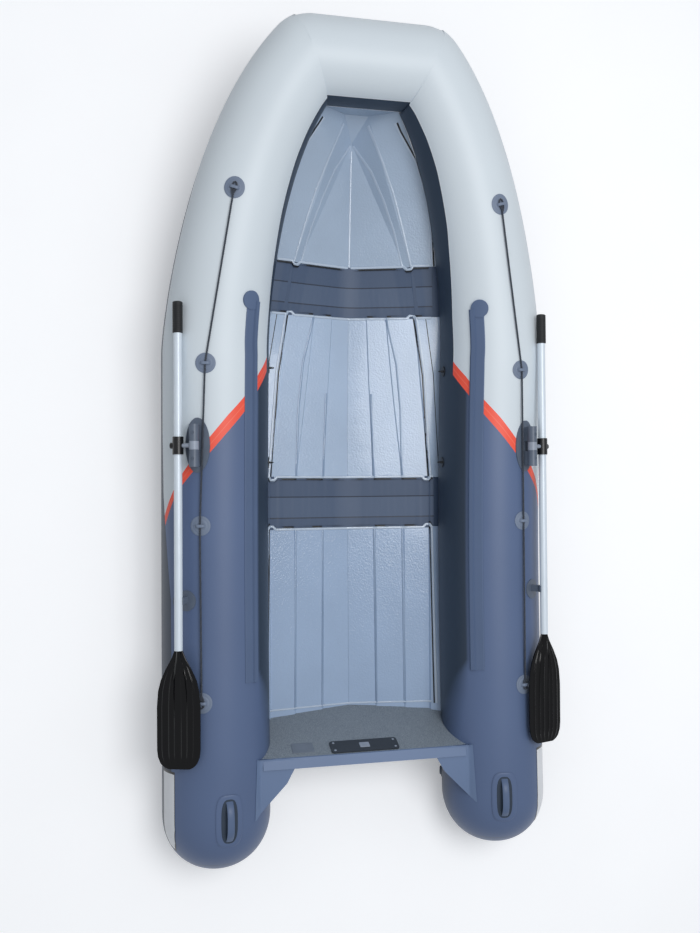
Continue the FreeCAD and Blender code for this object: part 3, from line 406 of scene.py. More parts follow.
class Builder:
    """Collects faces and makes them one piece."""

    def __init__(self):
        self.points, self.faces, self.slots, self.values = [], [], [], {}

    def add(self, row, **values):
        start = len(self.points)
        self.points += [tuple(p) for p in row]
        for key, numbers in values.items():
            self.values.setdefault(key, {})
            self.values[key].update({start + i: v for i, v in enumerate(numbers)})
        return list(range(start, start + len(row)))

    def bridge(self, first, second, wrap=False, slot=0):
        count = len(first)
        for i in range(count if wrap else count - 1):
            j = (i + 1) % count
            self.faces.append((first[i], first[j], second[j], second[i]))
            self.slots.append(slot)

    def grid(self, rows, wrap=False, slot=0):
        ids = [self.add(row) for row in rows]
        for first, second in zip(ids, ids[1:]):
            self.bridge(first, second, wrap, slot)
        return ids

    def cap(self, ids, slot=0, turn=False):
        centre = Vector((0, 0, 0))
        for i in ids:
            centre += Vector(self.points[i])
        middle = self.add([centre / len(ids)])[0]
        for i, first in enumerate(ids):
            second = ids[(i + 1) % len(ids)]
            self.faces.append((second, first, middle) if turn else (first, second, middle))
            self.slots.append(slot)

    def rod(self, path, radius, sides=10, slot=0, flat=1.0, upright=None):
        """A round or flattened bar along a path, closed at its ends."""
        side_way, rows = None, []
        for i, place in enumerate(path):
            before, after = path[max(0, i - 1)], path[min(len(path) - 1, i + 1)]
            ahead = (after - before).normalized()
            if upright is not None:
                side_way = upright.cross(ahead).normalized()
            elif side_way is None:
                guess = Vector((0, 0, 1)) if abs(ahead.z) < 0.9 else Vector((1, 0, 0))
                side_way = guess.cross(ahead).normalized()
            else:
                side_way = (side_way - ahead * side_way.dot(ahead)).normalized()
            other = ahead.cross(side_way)
            row = []
            for k in range(sides):
                turn = 2 * math.pi * k / sides
                row.append(place + (side_way * math.cos(turn) + other * math.sin(turn) * flat) * radius)
            rows.append(row)
        ids = self.grid(rows, True, slot)
        self.cap(ids[0], slot, True)
        self.cap(ids[-1], slot)

    def lathe(self, origin, axis, profile, sides):
        """Turns (height, radius) pairs about an axis."""
        axis = axis.normalized()
        guess = Vector((0, 0, 1)) if abs(axis.z) < 0.9 else Vector((1, 0, 0))
        first = guess.cross(axis).normalized()
        second = axis.cross(first)
        rows = []
        for height, reach in profile:
            centre = origin + axis * height
            rows.append([centre + (first * math.cos(2 * math.pi * k / sides) +
                                   second * math.sin(2 * math.pi * k / sides)) * max(reach, 1e-5)
                         for k in range(sides)])
        self.grid(rows, True)

    def make(self, name, materials, sharp=40.0):
        mesh = bpy.data.meshes.new(name)
        mesh.from_pydata(self.points, [], self.faces)
        for key, numbers in self.values.items():
            layer = mesh.attributes.new(key, "FLOAT", "POINT")
            for i, value in numbers.items():
                layer.data[i].value = value
        mesh.polygons.foreach_set("material_index", self.slots)
        for material in materials:
            mesh.materials.append(material.material if isinstance(material, Shader) else material)
        mesh.shade_smooth()
        mesh.set_sharp_from_angle(angle=math.radians(sharp))
        piece = bpy.data.objects.new(name, mesh)
        bpy.context.scene.collection.objects.link(piece)
        return piece


def finished(piece, body, slot, *replaced):
    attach(piece, body)
    if replaced:
        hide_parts(*replaced)
    return piece


def steps(start, end, count):
    return [start + (end - start) * i / (count - 1) for i in range(count)]


# Air tubes

# Flame band's edges, as angle and station
BAND_FRONT = ((0, 1.39), (18, 1.497), (45.7, 1.665), (77.7, 1.829), (98, 1.930), (117.2, 2.012),
              (138, 2.113), (154.7, 2.175), (190, 2.31))
BAND_AFT = ((0, 1.33), (17.5, 1.440), (41, 1.598), (77.7, 1.762), (97.5, 1.858), (117, 1.947),
            (138, 2.048), (153.5, 2.111), (190, 2.25))
# Dark panels' edges, as station and angle, and how far the painted shade on the tails' inner side fades
INNER_EDGE = ((2.19, 156), (2.4, 157.4), (2.69, 154.3), (2.81, 152), (3.06, 151), (3.19, 153), (3.31, 157),
              (3.40, 163.5))
# Painted shade on the tails' inner side: where it starts and how far it fades
REAR_SHADE_EDGE = ((0.10, 165), (0.45, 150), (0.70, 136), (0.84, 134))
REAR_SHADE_FADE = ((0.10, 50), (0.60, 44), (0.76, 20), (0.84, 3))
# Outer dark panel's edge; aft, where it reaches 30 to 33 degrees, it is widened by painted shade on the
# tails' outboard side
OUTER_PANEL_AND_SHADE_EDGE = ((0.05, 8), (0.30, 30), (0.60, 33), (1.15, 32), (1.42, 22), (1.6, 15), (1.9, 11),
              (2.8, 10), (3.1, -5))
CORNER_REACH, CORNER_EASE = 0.085, 0.019
TAIL_SEAM_Y = 0.050
CORNER_START, CORNER_END = BOW_Y - 0.35, BOW_Y + 0.3
TAIL_ROWS, LEVEL_ROWS, CORNER_ROWS = 22, 150, 24
PLAIN = 1.0


def tube_values(y, angle, radius):
    """Distances of a place on the skin from the panel edges, and the share of painted shade on the tails'
    inner side.
    """
    ahead, behind = y - between(BAND_FRONT, angle), y - between(BAND_AFT, angle)
    inner = math.radians(angle - between(INNER_EDGE, y)) * radius
    outer = math.radians(between(OUTER_PANEL_AND_SHADE_EDGE, y) - angle) * radius
    rear = min(1.0, max(0.0, (angle - between(REAR_SHADE_EDGE, y)) / between(REAR_SHADE_FADE, y)))
    return {"band_front": ahead, "band_aft": behind, "inner_panel": inner, "outer_panel_and_shade": outer,
            "rear_painted_shade": rear, "seam": y - TAIL_SEAM_Y}


def corner_plane(side):
    """Centre and direction of the plane where a side tube meets the bow tube."""
    last = ring(side, BOW_Y)
    return last.centre, (last.along + Vector((-side, 0, 0))).normalized()


def mitre_station(side, angle):
    """Station at which a line of the skin meets the glued corner plane."""
    centre, normal = corner_plane(side)
    low, high = CORNER_START, CORNER_END
    for _ in range(30):
        middle = (low + high) / 2
        if (Ring(side, middle).point(angle) - centre).dot(normal) < 0:
            low = middle
        else:
            high = middle
    return low


def corner_inset(distance, angle):
    """How far the skin is drawn in near the corner, on its outer side."""
    near = max(0.0, 1 - distance / CORNER_REACH)
    return CORNER_EASE * near ** 2 * max(0.0, math.cos(math.radians(angle)))


ANGLES = steps(-90.0, 270.0, 121)
corner_ring, corner_ids = {}, {}

skin = Builder()
for name, side in SIDES:
    tail_at = [0.0] + [TAIL * (i / TAIL_ROWS) ** 1.8 for i in range(1, TAIL_ROWS + 1)]
    level_at = steps(TAIL, CORNER_START, LEVEL_ROWS)[1:]
    ends = [mitre_station(side, angle) for angle in ANGLES]
    rows = [[(y, angle, 0.0) for angle in ANGLES] for y in tail_at + level_at]
    for share in [(i / CORNER_ROWS) ** 0.7 for i in range(1, CORNER_ROWS + 1)]:
        row = []
        for end, angle in zip(ends, ANGLES):
            y = CORNER_START + (end - CORNER_START) * share
            row.append((y, angle, corner_inset((end - y) / ring(side, y).along.y, angle)))
        rows.append(row)
    ids = []
    for row in rows:
        places = [ring(side, y).point(angle, -inset) for y, angle, inset in row]
        values = [tube_values(y, angle, ring(side, y).radius) for y, angle, _ in row]
        ids.append(skin.add(places, **{key: [v[key] for v in values] for key in values[0]}))
    corner_ring[side] = places
    for first, second in zip(ids, ids[1:]):
        if side > 0:
            first, second = second, first
        skin.bridge(first, second)
    corner_ids[side] = ids[-1]

bow_rows = []
for share in [math.sin(math.pi / 2 * k) for k in steps(-1.0, 1.0, 61)]:
    side = -1 if share < 0 else 1
    if abs(share) > 0.9999:
        bow_rows.append(corner_ids[side])
        continue
    places, values = [], []
    for corner in corner_ring[side]:
        turn = math.atan2(corner.z - BOW_Z, corner.y - BOW_Y)
        angle = (math.degrees(turn) + 90) % 360 - 90
        x = corner.x * share * side
        height = BOW_R - corner_inset(abs(corner.x - x), angle)
        places.append(Vector((x, BOW_Y + height * math.cos(turn), BOW_Z + height * math.sin(turn))))
        inner = math.radians(angle - INNER_EDGE[-1][1]) * BOW_R
        outer = math.radians(OUTER_PANEL_AND_SHADE_EDGE[-1][1] - angle) * BOW_R
        values.append({"band_front": PLAIN, "band_aft": PLAIN, "inner_panel": inner,
                       "outer_panel_and_shade": outer, "rear_painted_shade": 0.0, "seam": PLAIN})
    bow_rows.append(skin.add(places, **{key: [v[key] for v in values] for key in values[0]}))
for first, second in zip(bow_rows, bow_rows[1:]):
    skin.bridge(second, first)
finished(skin.make("tube_skin", [tube_skin], 70.0), "boat", "tube_fabric_pale", "tube_bow", "tube_port",
         "tube_starboard", "tube_end_cap_port", "tube_end_cap_starboard")


# Pads glued to the tubes

def pad_rows(side, y, angle, half_along, half_around, thickness, square=2.0, sides=48, rim=0.004):
    """Rings of a glued pad from its edge to its middle, all on the tube's skin."""
    rings = []
    for inset, height in ((0.0, 0.0), (0.0, thickness * 0.7), (rim * 0.4, thickness), (rim * 2, thickness),
                          (min(half_along, half_around) * 0.5, thickness)):
        row = []
        for k in range(sides):
            turn = 2 * math.pi * k / sides
            c, s = math.cos(turn), math.sin(turn)
            along = (half_along - inset) * abs(c) ** (2 / square) * (1 if c >= 0 else -1)
            around = (half_around - inset) * abs(s) ** (2 / square) * (1 if s >= 0 else -1)
            row.append(on_tube(side, y, angle, along, around, height + 0.0003))
        rings.append(row)
    return rings


def add_pad(builder, side, y, angle, half_along, half_around, thickness, square=2.0, slot=0, sides=48):
    rows = pad_rows(side, y, angle, half_along, half_around, thickness, square, sides)
    if side < 0:
        rows = [list(reversed(row)) for row in rows]
    ids = builder.grid(rows, True, slot)
    builder.cap(ids[-1], slot)


# Knot of a lifeline's end on its ring: along, around and height
KNOT = ((-0.030, 0.0, 0.0085), (-0.014, 0.007, 0.0095), (0.002, 0.010, 0.0095), (0.016, 0.006, 0.010),
        (0.020, 0.0, 0.0105), (0.016, -0.006, 0.010), (0.002, -0.010, 0.0095), (-0.014, -0.007, 0.0095),
        (-0.030, 0.0, 0.0100))
KNOT_ROPE_R = 0.0036

# Lifeline rings: station and angle of each, and the sizes of pad and arch
RING_PLACES = ((BOW_Y - 0.572, 79), (BEND_Y - 0.043, 75), (1.465, 70), (0.731, 71))
RING_PAD_R, RING_PAD_THICK = 0.042, 0.003
RING_FACE_R, RING_FACE_THICK = 0.030, 0.0042
BAR_HALF_SPAN, BAR_HEIGHT, BAR_R, BAR_FLATNESS = 0.019, 0.0152, 0.0062, 0.36
ROPE_HEIGHT, ROPE_STEP, ROPE_LAY = 0.0086, 0.0032, 0.024
STRANDS, STRAND_ORBIT, STRAND_R = 3, 0.0021, 0.0022

for name, side in SIDES:
    fittings = Builder()
    for y, angle in RING_PLACES:
        add_pad(fittings, side, y, angle, RING_PAD_R, RING_PAD_R, RING_PAD_THICK)
        add_pad(fittings, side, y, angle, RING_FACE_R, RING_FACE_R, RING_FACE_THICK, 2.0, 0, 40)
        arch = []
        for share in steps(-1.0, 1.0, 15):
            height = RING_PAD_THICK + (BAR_HEIGHT - RING_PAD_THICK) * (1 - abs(share) ** 5)
            arch.append(on_tube(side, y, angle, 0.0, BAR_HALF_SPAN * share, height))
        fittings.rod(arch, BAR_R, 10, 0, BAR_FLATNESS, ring(side, y).radial(angle))
    finished(fittings.make(f"lifeline_fittings_{name}", [pad_fabric]), "boat", "black_plastic",
             f"lifeline_rings_{name}")

    line = [on_tube(side, y, angle, 0, 0, ROPE_HEIGHT) for y, angle in RING_PLACES]
    strand_path = []
    for a, b in zip(line, line[1:]):
        count = max(2, int((b - a).length / ROPE_STEP))
        strand_path += [a.lerp(b, i / count) for i in range(count)]
    strand_path.append(line[-1])
    rope = Builder()
    up_way = ring(side, 1.6).radial(72)
    for strand in range(STRANDS):
        path, walked = [], 0.0
        for i, place in enumerate(strand_path):
            after = strand_path[min(i + 1, len(strand_path) - 1)]
            before = strand_path[max(i - 1, 0)]
            ahead = (after - before).normalized()
            side_way = up_way.cross(ahead).normalized()
            normal = ahead.cross(side_way)
            if i:
                walked += (place - strand_path[i - 1]).length
            turn = 2 * math.pi * (walked / ROPE_LAY + strand / STRANDS)
            path.append(place + (side_way * math.cos(turn) + normal * math.sin(turn)) * STRAND_ORBIT)
        rope.rod(path, STRAND_R, 6)
    for (y, angle), heading in ((RING_PLACES[0], 1), (RING_PLACES[-1], -1)):
        knot = [on_tube(side, y, angle, heading * along, around, height) for along, around, height in KNOT]
        rope.rod(knot, KNOT_ROPE_R, 8)
    finished(rope.make(f"lifeline_rope_{name}", [rope_yarn]), "boat", "rope", f"lifeline_{name}")


# Grab handles on the tails

GRAB_Y, GRAB_ANGLE = 0.250, 98
GRAB_PAD, GRAB_FACE_PAINTED_SHADE = (0.107, 0.056, 0.004, 3.4), (0.090, 0.034, 0.0052, 3.0)
STRAP_HALF, STRAP_BASE, STRAP_RISE, STRAP_R, STRAP_FLATNESS = 0.080, 0.004, 0.026, 0.0145, 0.2

for name, side in SIDES:
    grab = Builder()
    add_pad(grab, side, GRAB_Y, GRAB_ANGLE, *GRAB_PAD, 0, 64)
    # Inner face, navy as painted shade in the slot under the strap
    add_pad(grab, side, GRAB_Y, GRAB_ANGLE, *GRAB_FACE_PAINTED_SHADE, 1, 64)
    strap = []
    for share in steps(-1.0, 1.0, 25):
        height = STRAP_BASE + STRAP_RISE * (1 - abs(share) ** 3.2)
        strap.append(on_tube(side, GRAB_Y, GRAB_ANGLE, STRAP_HALF * share, 0.0, height))
    upright = ring(side, GRAB_Y).radial(GRAB_ANGLE)
    grab.rod(strap, STRAP_R, 12, 2, STRAP_FLATNESS, upright)
    finished(grab.make(f"grab_handle_{name}", [slate_fabric, grab_slot_painted_shade, rail_rubber]), "boat",
             "black_plastic", f"handle_{name}")


# Blank labels on the tails: outline as station and angle, its middle, and the turn of each side's label

LABEL = ((0.44, 13.0), (0.44, 37.5), (0.20, 37.5), (0.135, 33.0), (0.100, 26.0), (0.112, 17.0),
         (0.16, 13.0))
LABEL_MIDDLE = (0.29, 25.0)
LABEL_TURN = {-1: 0.0, 1: 14.0}
LABEL_PROUD, LABEL_GAP, LABEL_EDGE_POINTS = 0.0008, 0.09, 10

for name, side in SIDES:
    label = Builder()
    outline = []
    for (y0, a0), (y1, a1) in zip(LABEL, LABEL[1:] + LABEL[:1]):
        count = LABEL_EDGE_POINTS
        outline += [(y0 + (y1 - y0) * i / count, a0 + (a1 - a0) * i / count) for i in range(count)]
    middle_y, middle_angle = LABEL_MIDDLE
    rows = []
    for share in (1.0, 0.93, 0.8, 0.6, 0.4, 0.2):
        places = []
        for y, angle in outline:
            place = ring(side, middle_y + (y - middle_y) * share)
            turned = middle_angle + (angle - middle_angle) * share + LABEL_TURN[side]
            places.append(place.point(turned, LABEL_PROUD))
        if side < 0:
            places.reverse()
        rows.append(label.add(places, edge_gap=[(1 - share) * LABEL_GAP] * len(outline)))
    for first, second in zip(rows, rows[1:]):
        label.bridge(first, second, True)
    label.cap(rows[-1])
    label.values["edge_gap"][len(label.points) - 1] = LABEL_GAP
    finished(label.make(f"tail_label_{name}", [label_face]), "boat", "tube_fabric_pale")


# Moulded hull: covers over its joints, lips, steps and painted shadow lines along its grooves, all laid on
# the solids

BOW_AFT, MID_FRONT = BOW_Y - 0.797, BOW_Y - 1.022
MID_AFT, STERN_FRONT = MID_FRONT - 0.740, MID_FRONT - 0.970
FOOT_Y, KEEL_Z, BOW_END = 0.605, -0.015, 3.24
ABOVE_ALL = 1.5


def skin_of(name):
    """The faces of a solid, to lay strips on."""
    mesh = nodes[name].data
    points = [vertex.co.copy() for vertex in mesh.vertices]
    return BVHTree.FromPolygons(points, [tuple(polygon.vertices) for polygon in mesh.polygons])


def drop_on(tree, x, y, otherwise=None):
    """Height of the uppermost face at a place."""
    hit = tree.ray_cast(Vector((x, y, ABOVE_ALL)), Vector((0, 0, -1)))
    return hit[0].z if hit[0] is not None else otherwise


class Section:
    """One moulded length of the hull, with strips laid on its inner face."""

    HIGHEST, INWARD_STEP, END_GAP = 0.42, 0.004, 0.002
    BURIED, SHOULDER = 0.0003, 0.8

    def __init__(self, node, aft, front):
        self.tree = skin_of(node)
        self.aft, self.front = aft + self.END_GAP, front - self.END_GAP

    def place(self, x, y, lift):
        """A place on the inner face, moved inward where the rim or a tube is above it."""
        held = min(max(y, self.aft), self.front)
        height = drop_on(self.tree, x, held)
        inward = 0.0
        while height is None or height > self.HIGHEST:
            inward += self.INWARD_STEP
            height = drop_on(self.tree, x - math.copysign(inward, x), held)
        return Vector((x, y, height + lift))

    def strip(self, builder, corners, half, lift, step=0.02):
        """A rounded bead of a half width and height along a line of (x, y) corners."""
        profile = ((-1, self.BURIED), (-0.7, lift * self.SHOULDER), (0, lift),
                   (0.7, lift * self.SHOULDER), (1, self.BURIED))
        path = []
        for (x0, y0), (x1, y1) in zip(corners, corners[1:]):
            count = max(1, round(math.hypot(x1 - x0, y1 - y0) / step))
            path += [(x0 + (x1 - x0) * i / count, y0 + (y1 - y0) * i / count) for i in range(count)]
        path.append(corners[-1])
        rows = []
        for i, (x, y) in enumerate(path):
            before, after = path[max(0, i - 1)], path[min(len(path) - 1, i + 1)]
            run, rise = after[0] - before[0], after[1] - before[1]
            length = math.hypot(run, rise)
            across = (rise / length, -run / length)
            rows.append([self.place(x + across[0] * half * k, y + across[1] * half * k, height)
                         for k, height in profile])
        builder.grid(rows)


hull_stern = Section("hull_stern", FOOT_Y, STERN_FRONT)
hull_mid = Section("hull_mid", MID_AFT, MID_FRONT)
hull_bow = Section("hull_bow", BOW_AFT, BOW_END)


def mirrored(corners):
    return [(-x, y) for x, y in corners]


def shifted(corners, outward):
    return [(x + outward, y) for x, y in corners]


# Lines of the three sections, starboard half, as x and y
MID_CHINE = ((0.295, MID_FRONT), (0.338, 2.135), (0.372, MID_AFT))
MID_STRAKE = ((0.170, MID_FRONT), (0.221, 2.185), (0.242, 1.975), (0.251, MID_AFT))
MID_SHORT = ((0.108, 2.050), (0.120, MID_AFT))
STERN_CHINE = ((0.378, STERN_FRONT), (0.392, FOOT_Y))
STERN_STRAKE = ((0.253, STERN_FRONT), (0.259, FOOT_Y))
STERN_INNER = ((0.122, STERN_FRONT), (0.129, FOOT_Y))
BOW_RIDGE = ((0.006, 3.172), (0.083, 3.052), (0.142, 2.920), (0.193, 2.783), (0.238, BOW_AFT))
BOW_BAND = ((0.055, 3.235), (0.125, 3.075), (0.178, 2.942), (0.226, 2.789), (0.272, BOW_AFT))
BOW_SIDE = ((0.160, 3.225), (0.262, 3.070), (0.316, 2.930), (0.350, 2.790), (0.366, BOW_AFT))
MID_KEEL = ((0, MID_FRONT), (0, MID_AFT))
STERN_KEEL = ((0, STERN_FRONT), (0, FOOT_Y + 0.01))
BOW_KEEL = ((0.0, 3.150), (0.0, BOW_AFT))
FOOT_HALF, FOOT_AHEAD = 0.380, 0.008
CHINE_BEAD_OUT, RIM_SHADOW_OUT, SIDE_SHADOW_OUT = 0.010, 0.052, 0.008

# Half width and height of each kind of bead and painted shadow strip
CHINE_SHADOW_STRIP, CHINE_BEAD, RIM_SHADOW_STRIP = (0.0034, 0.0006), (0.005, 0.0035), (0.0018, 0.0005)
STRAKE_BEAD, KEEL_BEAD, BOW_KEEL_BEAD = (0.0052, 0.0034), (0.0016, 0.0008), (0.0035, 0.0020)
RIDGE_BEAD, BAND_BEAD, SIDE_BEAD = (0.0040, 0.0030), (0.0046, 0.0032), (0.004, 0.004)
SIDE_SHADOW_STRIP, FOOT_BEAD = (0.0035, 0.0006), (0.0045, 0.0035)
LIP_BEAD, LIP_SHADOW, LIP_STEP = (0.0060, 0.0045), (0.0040, -0.0035), 0.008

# Light beads as painted highlight, dark strips as painted shadow and darker strake beads as painted shade
lines, shadows, strakes = Builder(), Builder(), Builder()
for turned in (tuple, mirrored):
    for section, corners in ((hull_mid, MID_CHINE), (hull_stern, STERN_CHINE)):
        section.strip(shadows, turned(corners), *CHINE_SHADOW_STRIP)
        section.strip(lines, turned(shifted(corners, CHINE_BEAD_OUT)), *CHINE_BEAD)
    hull_mid.strip(shadows, turned(shifted(MID_CHINE, RIM_SHADOW_OUT)), *RIM_SHADOW_STRIP)
    for section, corners in ((hull_mid, MID_STRAKE), (hull_mid, MID_SHORT), (hull_stern, STERN_STRAKE),
                             (hull_stern, STERN_INNER)):
        section.strip(strakes, turned(corners), *STRAKE_BEAD)
    hull_bow.strip(lines, turned(BOW_RIDGE), *RIDGE_BEAD)
    hull_bow.strip(lines, turned(BOW_BAND), *BAND_BEAD)
    hull_bow.strip(lines, turned(BOW_SIDE), *SIDE_BEAD)
    hull_bow.strip(shadows, turned(shifted(BOW_SIDE, SIDE_SHADOW_OUT)), *SIDE_SHADOW_STRIP)
hull_mid.strip(strakes, MID_KEEL, *KEEL_BEAD)
hull_stern.strip(strakes, STERN_KEEL, *KEEL_BEAD)
hull_bow.strip(lines, BOW_KEEL, *BOW_KEEL_BEAD)
foot = [(x, FOOT_Y + FOOT_AHEAD) for x in steps(-FOOT_HALF, FOOT_HALF, 9)]
hull_stern.strip(lines, foot, *FOOT_BEAD)

EAR_REACH, EAR_START, EAR_INNER, EAR_OUTER, EAR_END = 0.014, -0.024, -0.010, 0.006, 0.014
LIP_BACK, LIP_SHADOW_AHEAD = 0.004, 0.006


def lip_line(edge_y, heading, ear_x, side_x):
    """The rolled end of a section: straight across, with an ear that laps over the joint at each side."""
    ear_y = edge_y + heading * EAR_REACH
    half = [(0.0, edge_y), (ear_x + EAR_START, edge_y), (ear_x + EAR_INNER, ear_y),
            (ear_x + EAR_OUTER, ear_y), (ear_x + EAR_END, edge_y), (side_x, edge_y)]
    return mirrored(reversed(half)) + half[1:]


for section, edge, heading, ear_x, side_x in (
        (hull_mid, MID_FRONT, 1, 0.288, 0.372), (hull_mid, MID_AFT, -1, 0.366, 0.392),
        (hull_stern, STERN_FRONT, 1, 0.372, 0.392), (hull_bow, BOW_AFT, -1, 0.266, 0.352)):
    # A lighter bead on the lip, as painted highlight, and a dark strip ahead of it, as painted shadow
    lip = lip_line(edge - heading * LIP_BACK, heading, ear_x, side_x)
    section.strip(lines, lip, *LIP_BEAD, LIP_STEP)
    lip = lip_line(edge + heading * LIP_SHADOW_AHEAD, heading, ear_x, side_x)
    section.strip(shadows, lip, *LIP_SHADOW, LIP_STEP)
# Lips, ridges and beads, lighter as painted highlight
finished(lines.make("hull_lips_and_strakes", [edge_resin_painted_highlight]), "boat", "gelcoat")
# Painted shadow lines along grooves, gaps and lip edges
finished(shadows.make("hull_groove_painted_shadows", [groove_painted_shadow]), "boat", "gelcoat")
# Strake and keel beads, darker as painted shade
finished(strakes.make("hull_strake_lines", [strake_resin_painted_shade]), "boat", "gelcoat")

# Fabric covers over the joints: lift, smoothing, laps and grid
COVER_LIFT, COVER_SPREAD, COVER_LAP, COVER_HOLD = 0.0036, 0.05, 0.006, 0.010
COVER_ROWS, COVER_POINTS = 33, 81
for name, aft, front, half_aft, half_front, seams in (
        ("aft", STERN_FRONT, MID_AFT, 0.399, 0.397, (1.573, 1.477)),
        ("forward", MID_FRONT, BOW_AFT, 0.380, 0.366, (2.537, 2.448))):
    below = skin_of(f"hull_joint_{name}")
    cloth = Builder()
    rows = []
    for y in steps(aft - COVER_LAP, front + COVER_LAP, COVER_ROWS):
        half = half_aft + (half_front - half_aft) * (y - aft) / (front - aft)
        row = []
        held = min(max(y, aft - COVER_HOLD), front + COVER_HOLD)
        for x in steps(-half, half, COVER_POINTS):
            spread = min(COVER_SPREAD, half - abs(x))
            near = [drop_on(below, x + d * spread, held, 0.0) for d in (-1, -0.5, 0, 0.5, 1)]
            row.append(Vector((x, y, sum(near) / len(near) + COVER_LIFT)))
        gap = [abs(y - (seams[0] + seams[1]) / 2) - (seams[0] - seams[1]) / 2] * len(row)
        rows.append(cloth.add(row, seam_gap=gap))
    for first, second in zip(rows, rows[1:]):
        cloth.bridge(first, second)
    finished(cloth.make(f"joint_cloth_{name}", [joint_cloth]), "boat", "joint_fabric")


# Trim of the transom, in its raked plane

RAKE = math.radians(22)
TOP_Z, BOARD = 0.327, 0.036
UP, AFT = Vector((0, -math.sin(RAKE), math.cos(RAKE))), Vector((0, -math.cos(RAKE), -math.sin(RAKE)))
CLIMB = (TOP_Z - KEEL_Z) / math.cos(RAKE)


def on_board(x, drop, proud=0.0):
    """Point on the transom's inner face, down from its top edge and out from its face."""
    return Vector((x, FOOT_Y, KEEL_Z)) + UP * (CLIMB - drop) - AFT * proud


def plate_on_board(builder, x0, x1, top, bottom, proud, corner=0.006, base=0.0004):
    """A rounded plate with a softened rim."""
    rows = []
    for inset, height in ((0.0, base), (0.0, proud - 0.001), (0.0012, proud), (corner + 0.002, proud)):
        row = []
        for cx, cy, start in ((x1, top, 0), (x1, bottom, 90), (x0, bottom, 180), (x0, top, 270)):
            for k in range(6):
                turn = math.radians(start + 18 * k)
                away_x, away_y = math.sin(turn), -math.cos(turn)
                centre_at_x = cx - math.copysign(corner, cx - (x0 + x1) / 2)
                centre_at_y = cy - math.copysign(corner, cy - (top + bottom) / 2)
                reach = max(0.0, corner - inset)
                row.append(on_board(centre_at_x + away_x * reach, centre_at_y + away_y * reach, height))
        rows.append(row)
    ids = builder.grid([list(reversed(row)) for row in rows], True)
    builder.cap(ids[-1])


# Plates on the board as sides, top and bottom: the motor pad, its window and the blank plate
PAD, WINDOW = (-0.150, 0.150, 0.010, 0.088), (-0.022, 0.022, 0.032, 0.066)
PLATE = (-0.318, -0.222, 0.030, 0.100)
WINDOW_PROUD, WINDOW_CORNER, PLATE_PROUD = 0.0092, 0.004, 0.0014
PAD_PROUD, SCREW_INSET_X, SCREW_INSET_DROP = 0.0070, 0.016, 0.014
SCREW = ((0.0, 0.0055), (0.0012, 0.0050), (0.0018, 0.0030), (0.0018, 0.0))
trim = Builder()
plate_on_board(trim, *WINDOW, WINDOW_PROUD, WINDOW_CORNER, PAD_PROUD)
for x in (PAD[0] + SCREW_INSET_X, PAD[1] - SCREW_INSET_X):
    for drop in (PAD[2] + SCREW_INSET_DROP, PAD[3] - SCREW_INSET_DROP):
        trim.lathe(on_board(x, drop, PAD_PROUD), -AFT, SCREW, 16)
finished(trim.make("motor_pad_trim", [light_plastic]), "boat", "black_plastic")

badge = Builder()
plate_on_board(badge, *PLATE, PLATE_PROUD)
finished(badge.make("blank_plate", [plate_finish]), "boat", "transom_board")

BAND_HALF, BAND_DROP, BAND_CREST, BAND_BACK, BAND_PROUD = 0.448, 0.006, -0.0008, 0.0150, 0.0006
band = Builder()
top_edge = [on_board(x, BAND_DROP, BAND_PROUD) for x in steps(-BAND_HALF, BAND_HALF, 61)]
over_board = Vector((0, -BOARD / math.cos(RAKE) - BAND_PROUD, 0))
rows = [top_edge, [on_board(place.x, BAND_CREST, BAND_PROUD) for place in top_edge],
        [place + over_board + UP * BAND_BACK for place in top_edge]]
band.grid(rows)
finished(band.make("transom_top_band", [knee_fabric]), "boat", "tube_fabric_slate")


# Knee flaps glued to the tubes

FLAP_OUTER = ((0.476, 0.474), (0.487, 0.228))
FLAP_INNER = ((0.0, 0.294, 0.462), (0.45, 0.348, 0.364), (1.0, 0.484, 0.226))
FLAP_TOP, FLAP_SHEET, FLAP_PROUD = 0.3290, 0.0048, 0.0026


def flap_place(side, x, y):
    """On top of the knee, or on the tube where that is higher."""
    reach = OFFSET - x
    on_skin = BASE_Z + math.sqrt(max(0.0, TUBE_R ** 2 - reach ** 2)) + FLAP_PROUD
    return Vector((side * x, y, max(FLAP_TOP, on_skin)))


for name, side in SIDES:
    flap = Builder()
    rows = []
    for share in steps(0.0, 1.0, 31):
        outer = [a + (b - a) * share for a, b in zip(*FLAP_OUTER)]
        inner = [between([(knot[0], knot[axis]) for knot in FLAP_INNER], share) for axis in (1, 2)]
        top = [flap_place(side, inner[0] + (outer[0] - inner[0]) * k, inner[1] + (outer[1] - inner[1]) * k)
               for k in steps(0.0, 1.0, 25)]
        rows.append(top + [place - Vector((0, 0, FLAP_SHEET)) for place in reversed(top)])
    if side < 0:
        rows = [list(reversed(row)) for row in rows]
    ids = flap.grid(rows, True)
    flap.cap(ids[0])
    finished(flap.make(f"knee_flap_{name}", [knee_fabric]), "boat", "tube_fabric_slate")


# Oars: ridged blades and rounded grips

